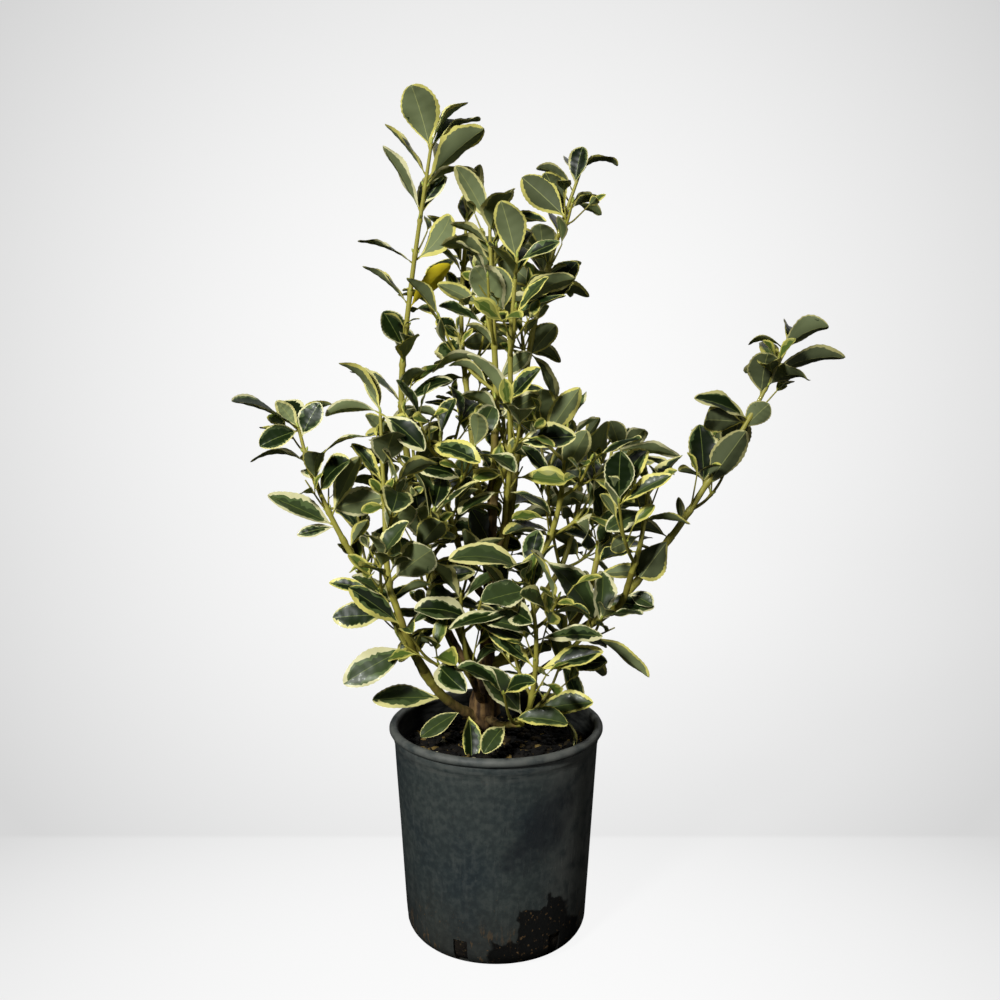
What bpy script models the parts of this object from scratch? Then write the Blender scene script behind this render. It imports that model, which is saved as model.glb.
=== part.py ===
"""A young variegated spindle shrub in a round nursery pot.

Metres, +Z up. The origin is the centre of the pot's flat underside, and +Y points away
from the side that the shrub is looked at from. The pot is filled with soil, one trunk
stands on the soil, boughs leave the trunk, and each bough or the trunk carries masses of
leafy shoots. Leaves stand in opposite pairs, each pair turned a quarter from the last.
"""

from collections import namedtuple
from math import acos, cos, degrees, exp, pi, radians, sin
from random import Random

import bmesh
import bpy
from mathutils import Matrix, Quaternion, Vector
from mathutils.bvhtree import BVHTree

NAME = "potted_spindle"
CLEAR = 0.0003  # the gap between two pieces that meet
FOOT_CLEAR = 0.00033  # and between a bough's foot and the limb that it leaves
WELD = 0.000002  # corners nearer than this are made one
UP = Vector((0, 0, 1))

# Pot
POT_HEIGHT = 0.2244
RIM_RADIUS = 0.110
RIM_ROLL = 0.0045  # radius of the rolled edge
NECK_RADIUS = 0.105  # outside of the wall just under the roll
FOOT_RADIUS = 0.0937  # outside of the wall where the bottom corner starts
FOOT_CORNER = 0.020
NECK_HEIGHT = POT_HEIGHT - 2 * RIM_ROLL  # where the roll ends and the wall begins
WALL = 0.0022
POT_STEPS = 30
CORNER_STEPS = 3
ROLL_STEPS = 6
SLOT_COUNT = 6
SLOT_WIDTH = 0.015
SLOT_HEIGHT = 0.026
SLOT_BASE = 0.004
SLOT_FIRST = radians(-112)

# Soil
SOIL_LEVEL = 0.198  # where the trunk stands
SOIL_EDGE = 0.194  # where the soil meets the wall
SOIL_FLAT = 0.040  # radius of the level part round the trunk

# Trunk and boughs
LIMB_SIDES = 6
LINE_FINE = 12  # fine stretches between two given points of a line
LIMB_STEP = 0.030  # length of one straight stretch
TRUNK_STEP = 0.014
FLARE = 0.45  # how much the trunk widens at the soil
FLARE_HEIGHT = 0.014

# Each limb: the limb that it leaves, the points of its axis from foot to tip, and its
# radius at the foot and at the tip. A foot lies on the axis of the limb that it leaves.
LIMBS = {
    "trunk": (
        None,
        ((-0.019, 0.010, 0.180), (-0.011, 0.014, 0.252), (-0.008, 0.012, 0.328), (0.000, -0.004, 0.548)),
        (0.0085, 0.0034),
    ),
    "bough_left": (
        "trunk",
        ((-0.016, 0.012, 0.222), (-0.043, -0.010, 0.244), (-0.063, -0.030, 0.272), (-0.086, -0.047, 0.320)),
        (0.0048, 0.0041),
    ),
    "bough_left_upright": (
        "bough_left",
        ((-0.070, -0.035, 0.286), (-0.083, -0.066, 0.326), (-0.098, -0.071, 0.372)),
        (0.0037, 0.0032),
    ),
    "bough_tall_left": (
        "trunk",
        ((-0.012, 0.014, 0.243), (-0.050, 0.022, 0.310), (-0.068, 0.029, 0.378), (-0.087, 0.034, 0.466)),
        (0.0046, 0.0037),
    ),
    "bough_low_left": (
        "trunk",
        ((-0.011, 0.013, 0.262), (-0.030, 0.006, 0.284), (-0.048, 0.000, 0.318)),
        (0.0034, 0.0030),
    ),
    "bough_front": (
        "trunk",
        ((-0.014, 0.013, 0.226), (0.006, -0.020, 0.226), (0.021, -0.043, 0.236)),
        (0.0040, 0.0032),
    ),
    "bough_front_left": (
        "trunk",
        ((-0.012, 0.013, 0.238), (-0.018, -0.010, 0.254), (-0.024, -0.030, 0.282)),
        (0.0036, 0.0030),
    ),
    "bough_right": (
        "trunk",
        ((-0.009, 0.013, 0.280), (0.045, 0.012, 0.298), (0.117, 0.006, 0.340), (0.177, 0.000, 0.418)),
        (0.0048, 0.0036),
    ),
    "bough_right_upper": (
        "bough_right",
        ((0.074, 0.010, 0.314), (0.094, 0.022, 0.346), (0.104, 0.028, 0.386)),
        (0.0036, 0.0030),
    ),
    "bough_right_lower": (
        "bough_right",
        ((0.106, 0.007, 0.332), (0.126, -0.018, 0.354), (0.134, -0.028, 0.386)),
        (0.0034, 0.0030),
    ),
    "bough_mid_right": (
        "trunk",
        ((-0.008, 0.012, 0.318), (0.028, 0.002, 0.360), (0.050, -0.012, 0.410)),
        (0.0038, 0.0032),
    ),
    "bough_low_right": (
        "trunk",
        ((-0.012, 0.013, 0.248), (0.024, 0.002, 0.264), (0.056, -0.008, 0.288)),
        (0.0036, 0.0030),
    ),
    "bough_mid_left": (
        "trunk",
        ((-0.007, 0.010, 0.346), (-0.028, -0.004, 0.380), (-0.040, -0.014, 0.420)),
        (0.0034, 0.0030),
    ),
    "bough_inner": (
        "trunk",
        ((-0.005, 0.006, 0.390), (0.006, -0.018, 0.420), (0.010, -0.032, 0.460)),
        (0.0032, 0.0028),
    ),
    "bough_centre_right": (
        "trunk",
        ((-0.002, 0.001, 0.460), (0.012, -0.012, 0.500), (0.014, -0.020, 0.550)),
        (0.0030, 0.0027),
    ),
    "bough_back_right": (
        "trunk",
        ((-0.007, 0.011, 0.345), (0.012, 0.040, 0.417), (0.025, 0.056, 0.520)),
        (0.0040, 0.0034),
    ),
    "bough_back_left": (
        "trunk",
        ((-0.006, 0.009, 0.372), (-0.016, 0.040, 0.440), (-0.026, 0.054, 0.520)),
        (0.0038, 0.0032),
    ),
    "bough_behind": (
        "trunk",
        ((-0.013, 0.014, 0.234), (-0.004, 0.056, 0.290), (0.006, 0.084, 0.356)),
        (0.0042, 0.0034),
    ),
    "bough_behind_left": (
        "trunk",
        ((-0.011, 0.014, 0.256), (-0.040, 0.050, 0.306), (-0.066, 0.076, 0.362)),
        (0.0038, 0.0032),
    ),
    "bough_behind_right": (
        "trunk",
        ((-0.009, 0.013, 0.268), (0.030, 0.048, 0.312), (0.066, 0.076, 0.362)),
        (0.0040, 0.0032),
    ),
}

# Shoots and leaves
STEM_SIDES = 4
TWIG_SIDES = 3
STEM_TIP = 0.0016
STEM_START = 0.012  # how far a mass's stem keeps on in its limb's direction
STRAIGHT = 0.005  # straight stretch at the end of a limb and of a stem, where they meet
TWIG_FOOT = 0.0019
TWIG_TIP = 0.0012
TWIG_STEP = 0.030
TWIG_BARE = 0.008  # the part of a twig that may touch its own stem
TWIG_LENGTH = 0.085
TWIG_CLIMB = 0.9  # how strongly a side twig turns upwards
TWIG_AHEAD = 0.7  # how far it leans along its stem, against TWIG_ASIDE
TWIG_ASIDE = 0.8
TWIG_LONG = (1.1, 0.6)  # its length at the stem's foot, and how much of that is lost at the tip
TWIG_TOP = 0.8  # share of the stem above which no side twig leaves it
TWIG_REACH = 0.75  # how far its tip may stand from the stem, of the mass's reach
TWIG_LEAFLESS = 0.45  # share of it below its first leaves
NODE_GAP = 0.036  # stem between two pairs of leaves
GAP_CHANGE = (1.15, 0.4)  # that gap at a shoot's foot, and how much of it is lost at the tip
TIP_SIZE = (1.08, 0.80)  # of the last two pairs
TIP_BACK = (0.010, 0.002)  # how far they stand from the tip
LEAF_LENGTH = 0.059
LEAF_WIDTH = 0.52  # of its length
LEAF_THICK = 0.0017
LEAF_FOLD = radians(16)
LEAF_TRIES = 6
LEAN_LOSS = radians(28)  # how much steeper the highest leaves of a shoot stand than the lowest
LEAN_TIP = (radians(32), radians(15))
OVER_SIDE = 0.2  # how far a leaf's upper face turns away from its shoot
OVER_UP = 0.3  # and towards the sky
LEAF_SHOULDER = 0.75  # below 1, the leaf is broadest beyond its middle
LEAF_NARROW = 0.80  # width of the lower half against the upper
LEAF_RIDGE = 0.40  # where along the leaf it is thickest
LEAF_SUNK = 0.4  # how far past the twig's axis its root lies, of the twig's radius
TEST_THICK = 0.0026  # a leaf keeps this much thickness free of others
TEST_BEGIN = 0.14  # the part of a leaf's length that may touch its own twig
TEST_MARGIN = 0.0004  # kept free round limbs and twigs

# The lowest and the highest value of each draw
DRAW_ANGLE = (-0.3, 0.3)  # of a leaf round its shoot, from its place in the pair
DRAW_TIP_ANGLE = (-0.25, 0.25)
DRAW_TURN = (-0.2, 0.2)  # of a pair, beyond the quarter turn
DRAW_SIDE = (-0.4, 0.4)  # of a leaf at each try
DRAW_GAP = (0.85, 1.15)
DRAW_SIZE = (0.85, 1.12)
DRAW_TIP_SIZE = (0.88, 1.12)
DRAW_TWIG = (0.7, 1.1)
DRAW_LEAN = (radians(-16), radians(16))
DRAW_BEND = (radians(20), radians(80))
DRAW_ROLL = (radians(-28), radians(28))

Rule = namedtuple("Rule", "bare turn reach twiggy lean leaf seed")

# Each mass: the limb whose tip carries it, the points of its stem beyond that tip, and its
# rule: the bare length before the first pair, the turn of the first pair in degrees, how far
# it reaches from its stem, the chance of a side twig in an axil, how far its lowest leaves
# lean from it in degrees, the size of its leaves, and the number that its draws start from.
MASSES = {
    "leaves_tall_left": (
        "bough_tall_left",
        ((-0.096, 0.031, 0.560), (-0.084, 0.022, 0.668), (-0.062, 0.008, 0.800)),
        Rule(0.080, 0, 0.090, 0.0, 48, 1.12, 18),
    ),
    "leaves_far_left": (
        "bough_left",
        ((-0.142, -0.072, 0.424), (-0.172, -0.070, 0.490), (-0.184, -0.066, 0.532)),
        Rule(0.012, 0, 0.100, 0.15, 66, 1.0, 51),
    ),
    "leaves_left": (
        "bough_left_upright",
        ((-0.105, -0.064, 0.450), (-0.109, -0.052, 0.545)),
        Rule(0.014, 0, 0.095, 0.2, 62, 1.0, 4),
    ),
    "leaves_front": (
        "bough_front",
        ((0.036, -0.066, 0.278), (0.038, -0.082, 0.340), (0.030, -0.090, 0.396)),
        Rule(0.008, 60, 0.100, 0.3, 78, 1.05, 30),
    ),
    "leaves_right_arm": (
        "bough_right",
        ((0.206, -0.004, 0.465), (0.245, -0.010, 0.530), (0.284, -0.006, 0.606)),
        Rule(0.030, 60, 0.085, 0.12, 52, 1.08, 34),
    ),
    "leaves_mid_right": (
        "bough_mid_right",
        ((0.064, -0.018, 0.460), (0.070, -0.016, 0.530)),
        Rule(0.010, 30, 0.095, 0.4, 78, 1.0, 21),
    ),
    "leaves_right": (
        "bough_right_upper",
        ((0.112, 0.032, 0.440), (0.118, 0.030, 0.500)),
        Rule(0.010, 30, 0.095, 0.4, 78, 1.0, 11),
    ),
    "leaves_right_low": (
        "bough_right_lower",
        ((0.142, -0.034, 0.420), (0.148, -0.034, 0.470)),
        Rule(0.010, 60, 0.090, 0.4, 78, 1.0, 60),
    ),
    "leaves_low_left": (
        "bough_low_left",
        ((-0.066, -0.008, 0.366), (-0.074, -0.012, 0.420)),
        Rule(0.008, 0, 0.095, 0.35, 78, 1.0, 19),
    ),
    "leaves_low_front": (
        "bough_front_left",
        ((-0.032, -0.046, 0.322), (-0.034, -0.054, 0.372)),
        Rule(0.008, 30, 0.095, 0.4, 78, 1.0, 24),
    ),
    "leaves_low_right": (
        "bough_low_right",
        ((0.086, -0.018, 0.316), (0.106, -0.022, 0.350)),
        Rule(0.008, 0, 0.095, 0.4, 78, 1.0, 14),
    ),
    "leaves_mid_left": (
        "bough_mid_left",
        ((-0.050, -0.024, 0.462), (-0.054, -0.026, 0.520)),
        Rule(0.008, 60, 0.095, 0.4, 78, 1.0, 25),
    ),
    "leaves_inner": (
        "bough_inner",
        ((0.014, -0.044, 0.500), (0.012, -0.048, 0.556)),
        Rule(0.008, 30, 0.090, 0.4, 78, 1.0, 1),
    ),
    "leaves_centre_right": (
        "bough_centre_right",
        ((0.014, -0.028, 0.610), (0.020, -0.034, 0.690)),
        Rule(0.008, 0, 0.085, 0.4, 62, 1.0, 23),
    ),
    "leaves_centre": (
        "trunk",
        ((-0.002, -0.008, 0.620), (-0.006, -0.006, 0.722)),
        Rule(0.014, 0, 0.085, 0.4, 62, 1.0, 32),
    ),
    "leaves_back_right": (
        "bough_back_right",
        ((0.036, 0.064, 0.610), (0.060, 0.074, 0.706), (0.086, 0.080, 0.782)),
        Rule(0.014, 0, 0.090, 0.3, 62, 1.0, 31),
    ),
    "leaves_back_left": (
        "bough_back_left",
        ((-0.036, 0.062, 0.630), (-0.030, 0.060, 0.735)),
        Rule(0.010, 30, 0.090, 0.4, 62, 1.0, 28),
    ),
    "leaves_behind": (
        "bough_behind",
        ((0.012, 0.104, 0.440), (0.008, 0.108, 0.530)),
        Rule(0.006, 30, 0.105, 0.2, 78, 1.0, 22),
    ),
    "leaves_behind_left": (
        "bough_behind_left",
        ((-0.084, 0.090, 0.430), (-0.090, 0.088, 0.505)),
        Rule(0.006, 60, 0.105, 0.4, 78, 1.0, 0),
    ),
    "leaves_behind_right": (
        "bough_behind_right",
        ((0.088, 0.094, 0.430), (0.094, 0.096, 0.505)),
        Rule(0.006, 30, 0.105, 0.4, 78, 1.0, 22),
    ),
}


def smooth_line(points, step, straight=0.0):
    """A smooth line through a few points, as points about one step apart.

    With straight, it has a short straight stretch at both ends.
    """
    given = [Vector(point) for point in points]
    spans = [(after - before).length for before, after in zip(given, given[1:])]
    slopes = [(given[1] - given[0]) / spans[0]]
    for i in range(1, len(given) - 1):
        slopes.append((given[i + 1] - given[i - 1]) / (spans[i] + spans[i - 1]))
    slopes.append((given[-1] - given[-2]) / spans[-1])
    fine = []
    for i, span in enumerate(spans):
        for t in (j / LINE_FINE for j in range(LINE_FINE)):
            place = given[i] * ((1 + 2 * t) * (1 - t) ** 2) + given[i + 1] * (t * t * (3 - 2 * t))
            pull = slopes[i] * (t * (1 - t) ** 2) + slopes[i + 1] * (t * t * (t - 1))
            fine.append(place + pull * span)
    fine.append(given[-1])
    marks = [0.0]
    for before, after in zip(fine, fine[1:]):
        marks.append(marks[-1] + (after - before).length)
    count = max(2, round(marks[-1] / step))
    wanted = [marks[-1] * i / count for i in range(count + 1)]
    if straight:
        wanted = [0.0, straight, *wanted[1:-1], marks[-1] - straight, marks[-1]]
    line = []
    for distance in wanted:
        i = next((i for i in range(len(fine) - 1) if marks[i + 1] >= distance), len(fine) - 2)
        line.append(fine[i].lerp(fine[i + 1], (distance - marks[i]) / (marks[i + 1] - marks[i])))
    return line


class Shoot:
    """A limb, a stem or a twig: a line of points and a radius that shrinks along it."""

    def __init__(self, line, foot_radius, tip_radius):
        self.line = line
        self.marks = [0.0]
        for before, after in zip(line, line[1:]):
            self.marks.append(self.marks[-1] + (after - before).length)
        self.length = self.marks[-1]
        self.radii = [foot_radius + (tip_radius - foot_radius) * mark / self.length for mark in self.marks]

    def at(self, distance):
        """The point, the direction and the radius at a distance from the foot."""
        i = next((i for i in range(len(self.line) - 1) if self.marks[i + 1] > distance), len(self.line) - 2)
        share = (distance - self.marks[i]) / (self.marks[i + 1] - self.marks[i])
        before, after = self.line[i], self.line[i + 1]
        radius = self.radii[i] + (self.radii[i + 1] - self.radii[i]) * share
        return before.lerp(after, share), (after - before).normalized(), radius

    def distance_to(self, place):
        return min((point - place).length for point in self.line)


class Leaf:
    """One arched leaf: where each point of its blade lies."""

    def __init__(self, base, outward, stemward, length, bend):
        self.base = base
        self.along = outward.normalized()
        self.across = stemward.cross(self.along).normalized()
        self.over = self.along.cross(self.across)
        self.length = length
        self.bend = bend

    def point(self, reach, side, lift):
        """reach runs 0 to 1 from base to tip, side -1 to 1 across, lift in metres."""
        turned = self.bend * reach
        forward = self.length * sin(turned) / self.bend
        down = self.length * (1 - cos(turned)) / self.bend
        normal = self.over * cos(turned) + self.along * sin(turned)
        half = 0.5 * LEAF_WIDTH * self.length * side
        folded = self.across * half * cos(LEAF_FOLD) + normal * abs(half) * sin(LEAF_FOLD)
        return self.base + self.along * forward - self.over * down + folded + normal * lift


def blade(leaf, thick=LEAF_THICK, begin=0.0):
    """The leaf as a closed solid: a six-sided blade with a ridge on each face."""
    solid = bmesh.new()
    bmesh.ops.create_uvsphere(solid, u_segments=6, v_segments=2, radius=1)
    bmesh.ops.rotate(solid, cent=(0, 0, 0), matrix=Matrix.Rotation(pi / 6, 3, "Z"), verts=solid.verts)
    for vertex in solid.verts:
        x, y, z = vertex.co
        reach = LEAF_RIDGE if abs(z) > 0.5 else (0.5 * max(x + 1, 0)) ** LEAF_SHOULDER
        side = y / sin(pi / 3) * (LEAF_NARROW if x < 0 else 1.0)
        vertex.co = leaf.point(begin + (1 - begin) * reach, side, z * thick / 2)
    return solid


def rod(line, radii, sides):
    """A straight-sided rod along a line, for finding what it would touch."""
    solid = bmesh.new()
    for before, after, near, far in zip(line, line[1:], radii, radii[1:]):
        run = after - before
        turn = run.to_track_quat("Z", "Y").to_matrix().to_4x4()
        place = Matrix.Translation((before + after) / 2) @ turn
        bmesh.ops.create_cone(
            solid, segments=sides, radius1=near, radius2=far, depth=run.length, matrix=place
        )
    return solid


def search_tree(solid):
    tree = BVHTree.FromBMesh(solid)
    corners = [vertex.co for vertex in solid.verts]
    box = [(min(co[i] for co in corners), max(co[i] for co in corners)) for i in range(3)]
    solid.free()
    return tree, box


class Room:
    """What already takes up space, so that nothing grows through anything else.

    Each piece is kept as the mass or limb that owns it, its outer part and its whole. Pieces
    of one mass may touch at their roots, so they are compared by their outer parts alone.
    """

    def __init__(self):
        self.taken = []

    def free(self, piece):
        owner, (outer, box), (whole, whole_box) = piece
        for other_owner, (other_outer, _), (other_whole, other_box) in self.taken:
            if any(low > far or high < near for (low, high), (near, far) in zip(whole_box, other_box)):
                continue
            touching = outer.overlap(other_outer) if owner == other_owner else whole.overlap(other_whole)
            if touching:
                return False
        return True

    def take(self, piece):
        self.taken.append(piece)


def rod_piece(owner, shoot, sides, bare=0.0):
    """A shoot as a piece of the room, its outer part starting a bare length from its foot."""
    radii = [radius + TEST_MARGIN for radius in shoot.radii]
    start = shoot.at(bare)[0]
    outer = search_tree(rod([start, *shoot.line[1:]], radii, sides))
    return owner, outer, search_tree(rod(shoot.line, radii, sides))


def leaf_piece(owner, leaf):
    outer = search_tree(blade(leaf, TEST_THICK, TEST_BEGIN))
    return owner, outer, search_tree(blade(leaf, TEST_THICK))


def turned_from(direction, angle):
    """A direction square to another, turned round it by an angle."""
    side = direction.cross(Vector((0, 1, 0))).normalized()
    return Quaternion(direction, angle) @ side


class Mass:
    """A mass of leaves: its stem, its side twigs and its leaves, grown by a seeded rule."""

    def __init__(self, name, limb, points, rule, room):
        self.name = name
        self.rule = rule
        self.room = room
        foot, towards, radius = limb.at(limb.length)
        start = (foot + towards * CLEAR, foot + towards * STEM_START)
        self.stem = Shoot(smooth_line([*start, *points], LIMB_STEP, STRAIGHT), radius, STEM_TIP)
        self.twigs = []
        self.leaves = []
        self.room.take(rod_piece(name, self.stem, STEM_SIDES))

    def grow(self):
        self.draw = Random(self.rule.seed)
        self.dress(self.stem, self.rule.bare, radians(self.rule.turn), True)

    def dress(self, shoot, bare, turn, branching):
        """Pairs of leaves along a shoot, each a quarter turn on, and side twigs in their axils."""
        distance = bare
        while distance < shoot.length - NODE_GAP / 2:
            rise = distance / shoot.length
            for half in (0, 1):
                angle = turn + half * pi + self.draw.uniform(*DRAW_ANGLE)
                size = self.draw.uniform(*DRAW_SIZE)
                branches = branching and rise < TWIG_TOP and self.draw.random() < self.rule.twiggy
                if not (branches and self.twig(shoot, distance, angle, rise)):
                    self.leaf(shoot, distance, angle, size, radians(self.rule.lean) - LEAN_LOSS * rise)
            turn += pi / 2 + self.draw.uniform(*DRAW_TURN)
            distance += NODE_GAP * (GAP_CHANGE[0] - GAP_CHANGE[1] * rise) * self.draw.uniform(*DRAW_GAP)
        for pair in (0, 1):
            for half in (0, 1):
                angle = turn + half * pi + self.draw.uniform(*DRAW_TIP_ANGLE)
                size = TIP_SIZE[pair] * self.draw.uniform(*DRAW_TIP_SIZE)
                self.leaf(shoot, shoot.length - TIP_BACK[pair], angle, size, LEAN_TIP[pair])
            turn += pi / 2

    def leaf(self, shoot, distance, angle, size, lean):
        """One leaf, turned a little and tried again until its place is free."""
        centre, direction, radius = shoot.at(distance)
        for _ in range(LEAF_TRIES):
            tilt = lean + self.draw.uniform(*DRAW_LEAN)
            bend = self.draw.uniform(*DRAW_BEND)
            side = turned_from(direction, angle + self.draw.uniform(*DRAW_SIDE))
            outward = direction * cos(tilt) + side * sin(tilt)
            roll = Quaternion(outward, self.draw.uniform(*DRAW_ROLL))
            over = roll @ (direction - side * OVER_SIDE + UP * OVER_UP)
            root = centre - side * radius * LEAF_SUNK
            leaf = Leaf(root, outward, over, LEAF_LENGTH * self.rule.leaf * size, bend)
            tip = leaf.point(1, 0, 0)
            if self.stem.distance_to(tip) > self.rule.reach or tip.z < SOIL_LEVEL:
                continue
            piece = leaf_piece(self.name, leaf)
            if self.room.free(piece):
                self.room.take(piece)
                self.leaves.append(leaf)
                return

    def twig(self, shoot, distance, angle, rise):
        """A side twig with leaves of its own, if its place is free."""
        foot, direction, _ = shoot.at(distance)
        side = turned_from(direction, angle)
        length = TWIG_LENGTH * (TWIG_LONG[0] - TWIG_LONG[1] * rise) * self.draw.uniform(*DRAW_TWIG)
        outward = direction * TWIG_AHEAD + side * TWIG_ASIDE
        middle = foot + outward.normalized() * length / 2
        tip = middle + (outward + UP * TWIG_CLIMB).normalized() * length / 2
        if self.stem.distance_to(tip) > self.rule.reach * TWIG_REACH:
            return False
        twig = Shoot(smooth_line([foot, middle, tip], TWIG_STEP), TWIG_FOOT, TWIG_TIP)
        piece = rod_piece(self.name, twig, TWIG_SIDES, TWIG_BARE)
        if not self.room.free(piece):
            return False
        self.room.take(piece)
        self.twigs.append(twig)
        self.dress(twig, length * TWIG_LEAFLESS, angle + pi / 2, False)
        return True


def grown_plant():
    """The limbs as shoots and the masses with their leaves, worked out but not yet built."""
    room = Room()
    limbs = {}
    for name, (parent, points, radii) in LIMBS.items():
        step = TRUNK_STEP if parent is None else LIMB_STEP
        limbs[name] = Shoot(smooth_line(points, step, STRAIGHT), *radii)
        room.take(rod_piece(name, limbs[name], LIMB_SIDES))
    masses = {}
    for name, (limb, points, rule) in MASSES.items():
        masses[name] = Mass(name, limbs[limb], points, rule, room)
    for mass in masses.values():
        mass.grow()
    return limbs, masses


def clear_scene():
    for thing in list(bpy.data.objects):
        bpy.data.objects.remove(thing)


def new_collection(name):
    made = bpy.data.collections.new(name)
    bpy.context.scene.collection.children.link(made)
    return made


def new_material(name, colour, roughness):
    material = bpy.data.materials.new(name)
    material.use_nodes = True
    surface = material.node_tree.nodes["Principled BSDF"]
    surface.inputs["Base Color"].default_value = (*colour, 1)
    surface.inputs["Roughness"].default_value = roughness
    surface.inputs["Metallic"].default_value = 0.0
    return material


def evaluated_mesh(thing):
    """The mesh of an object with its modifiers or its bevel carried out."""
    return bpy.data.meshes.new_from_object(thing.evaluated_get(bpy.context.evaluated_depsgraph_get()))


def tidy_mesh(mesh):
    """Caps welded on, faces turned outwards."""
    solid = bmesh.new()
    solid.from_mesh(mesh)
    bmesh.ops.remove_doubles(solid, verts=solid.verts, dist=WELD)
    bmesh.ops.recalc_face_normals(solid, faces=solid.faces)
    solid.to_mesh(mesh)
    solid.free()
    return mesh


def tube(name, points, radii, sides, group):
    """A closed tapering tube along points: a section swept along a curve, made a mesh."""
    section = bpy.data.curves.new(name + "_section", "CURVE")
    ring = section.splines.new("POLY")
    ring.points.add(sides - 1)
    for i, corner in enumerate(ring.points):
        corner.co = (cos(2 * pi * i / sides), sin(2 * pi * i / sides), 0, 1)
    ring.use_cyclic_u = True
    section_object = bpy.data.objects.new(name + "_section", section)
    line = bpy.data.curves.new(name + "_line", "CURVE")
    line.dimensions = "3D"
    line.bevel_mode = "OBJECT"
    line.bevel_object = section_object
    line.use_fill_caps = True
    run = line.splines.new("POLY")
    run.points.add(len(points) - 1)
    for corner, place, radius in zip(run.points, points, radii):
        corner.co = (*place, 1)
        corner.radius = radius
    line_object = bpy.data.objects.new(name + "_line", line)
    for helper in (section_object, line_object):
        bpy.context.scene.collection.objects.link(helper)
    mesh = tidy_mesh(evaluated_mesh(line_object))
    for helper in (section_object, line_object):
        bpy.data.objects.remove(helper)
    made = bpy.data.objects.new(name, mesh)
    group.objects.link(made)
    return made


def carried_out(thing):
    """The object with its modifiers made part of its mesh."""
    mesh = evaluated_mesh(thing)
    thing.modifiers.clear()
    thing.data = mesh
    return thing


def one_body(thing):
    """The largest closed body of a mesh is kept: sealed hollows and loose scraps go."""
    solid = bmesh.new()
    solid.from_mesh(thing.data)
    left = set(solid.faces)
    bodies = []
    while left:
        body, edge = set(), {left.pop()}
        while edge:
            body |= edge
            edge = {near for face in edge for line in face.edges for near in line.link_faces} - body
        left -= body
        bodies.append(body)
    keep = max(bodies, key=len)
    bmesh.ops.delete(solid, geom=[face for face in solid.faces if face not in keep], context="FACES")
    solid.to_mesh(thing.data)
    solid.free()
    return thing


def turned_object(name, profile, steps, group):
    """A profile of radius and height spun round Z, from the axis and back to it."""
    mesh = bpy.data.meshes.new(name)
    outline = bmesh.new()
    corners = [outline.verts.new((radius, 0, height)) for radius, height in profile]
    for first, second in zip(corners, corners[1:]):
        outline.edges.new((first, second))
    outline.to_mesh(mesh)
    outline.free()
    made = bpy.data.objects.new(name, mesh)
    group.objects.link(made)
    spin = made.modifiers.new("turn", "SCREW")
    spin.steps = spin.render_steps = steps
    spin.use_merge_vertices = True
    spin.merge_threshold = 0.00001
    return made


def arc(centre, radius, start, end, count):
    """Points along an arc of the profile, angles in degrees from the outward direction."""
    angles = [radians(start + (end - start) * i / count) for i in range(count + 1)]
    return [(centre[0] + radius * cos(a), centre[1] + radius * sin(a)) for a in angles]


def wall_radius(height):
    """Outside radius of the pot's straight wall."""
    share = (height - FOOT_CORNER) / (NECK_HEIGHT - FOOT_CORNER)
    return FOOT_RADIUS + (NECK_RADIUS - FOOT_RADIUS) * share


def make_pot(group, cutters):
    corner = (FOOT_RADIUS - FOOT_CORNER, FOOT_CORNER)
    roll = (RIM_RADIUS - RIM_ROLL, POT_HEIGHT - RIM_ROLL)
    inside_turn = degrees(acos((NECK_RADIUS - WALL - roll[0]) / RIM_ROLL))
    outside_turn = degrees(acos((NECK_RADIUS - roll[0]) / RIM_ROLL))
    profile = [
        (0, WALL),
        *arc(corner, FOOT_CORNER - WALL, -90, 0, CORNER_STEPS),
        *arc(roll, RIM_ROLL, 360 - inside_turn, -outside_turn, ROLL_STEPS),
        *arc(corner, FOOT_CORNER, 0, -90, CORNER_STEPS),
        (0, 0),
    ]
    pot = turned_object("pot", profile, POT_STEPS, group)
    pot.data.materials.append(new_material("pot_plastic", (0.030, 0.040, 0.039), 0.55))
    for index in range(SLOT_COUNT):
        angle = SLOT_FIRST + 2 * pi * index / SLOT_COUNT
        cutter_mesh = bpy.data.meshes.new("slot_cutter")
        block = bmesh.new()
        bmesh.ops.create_cube(block, size=1)
        bmesh.ops.scale(block, vec=(2 * FOOT_CORNER, SLOT_WIDTH, SLOT_HEIGHT), verts=block.verts)
        block.to_mesh(cutter_mesh)
        block.free()
        cutter = bpy.data.objects.new(f"slot_cutter_{index}", cutter_mesh)
        cutter.location = (FOOT_RADIUS * cos(angle), FOOT_RADIUS * sin(angle), SLOT_BASE + SLOT_HEIGHT / 2)
        cutter.rotation_euler.z = angle
        cutters.objects.link(cutter)
        cutter.hide_render = True
        cutter.display_type = "WIRE"
    cut = pot.modifiers.new("slots", "BOOLEAN")
    cut.operation = "DIFFERENCE"
    cut.operand_type = "COLLECTION"
    cut.collection = cutters
    return pot


def make_soil(group):
    """The soil fills the pot up to a little below the rim, level round the trunk."""
    corner = (FOOT_RADIUS - FOOT_CORNER, FOOT_CORNER)
    profile = [
        (0, SOIL_LEVEL),
        (SOIL_FLAT, SOIL_LEVEL),
        (wall_radius(SOIL_EDGE) - WALL - CLEAR, SOIL_EDGE),
        *arc(corner, FOOT_CORNER - WALL - CLEAR, 0, -90, CORNER_STEPS),
        (0, WALL + CLEAR),
    ]
    soil = turned_object("soil", profile, POT_STEPS, group)
    soil.data.materials.append(new_material("soil", (0.020, 0.013, 0.009), 0.95))
    return soil


def flared(point, radius):
    """The trunk's radius, widened towards the soil."""
    return radius * (1 + FLARE * exp(-max(point.z - SOIL_LEVEL, 0) / FLARE_HEIGHT))


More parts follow.
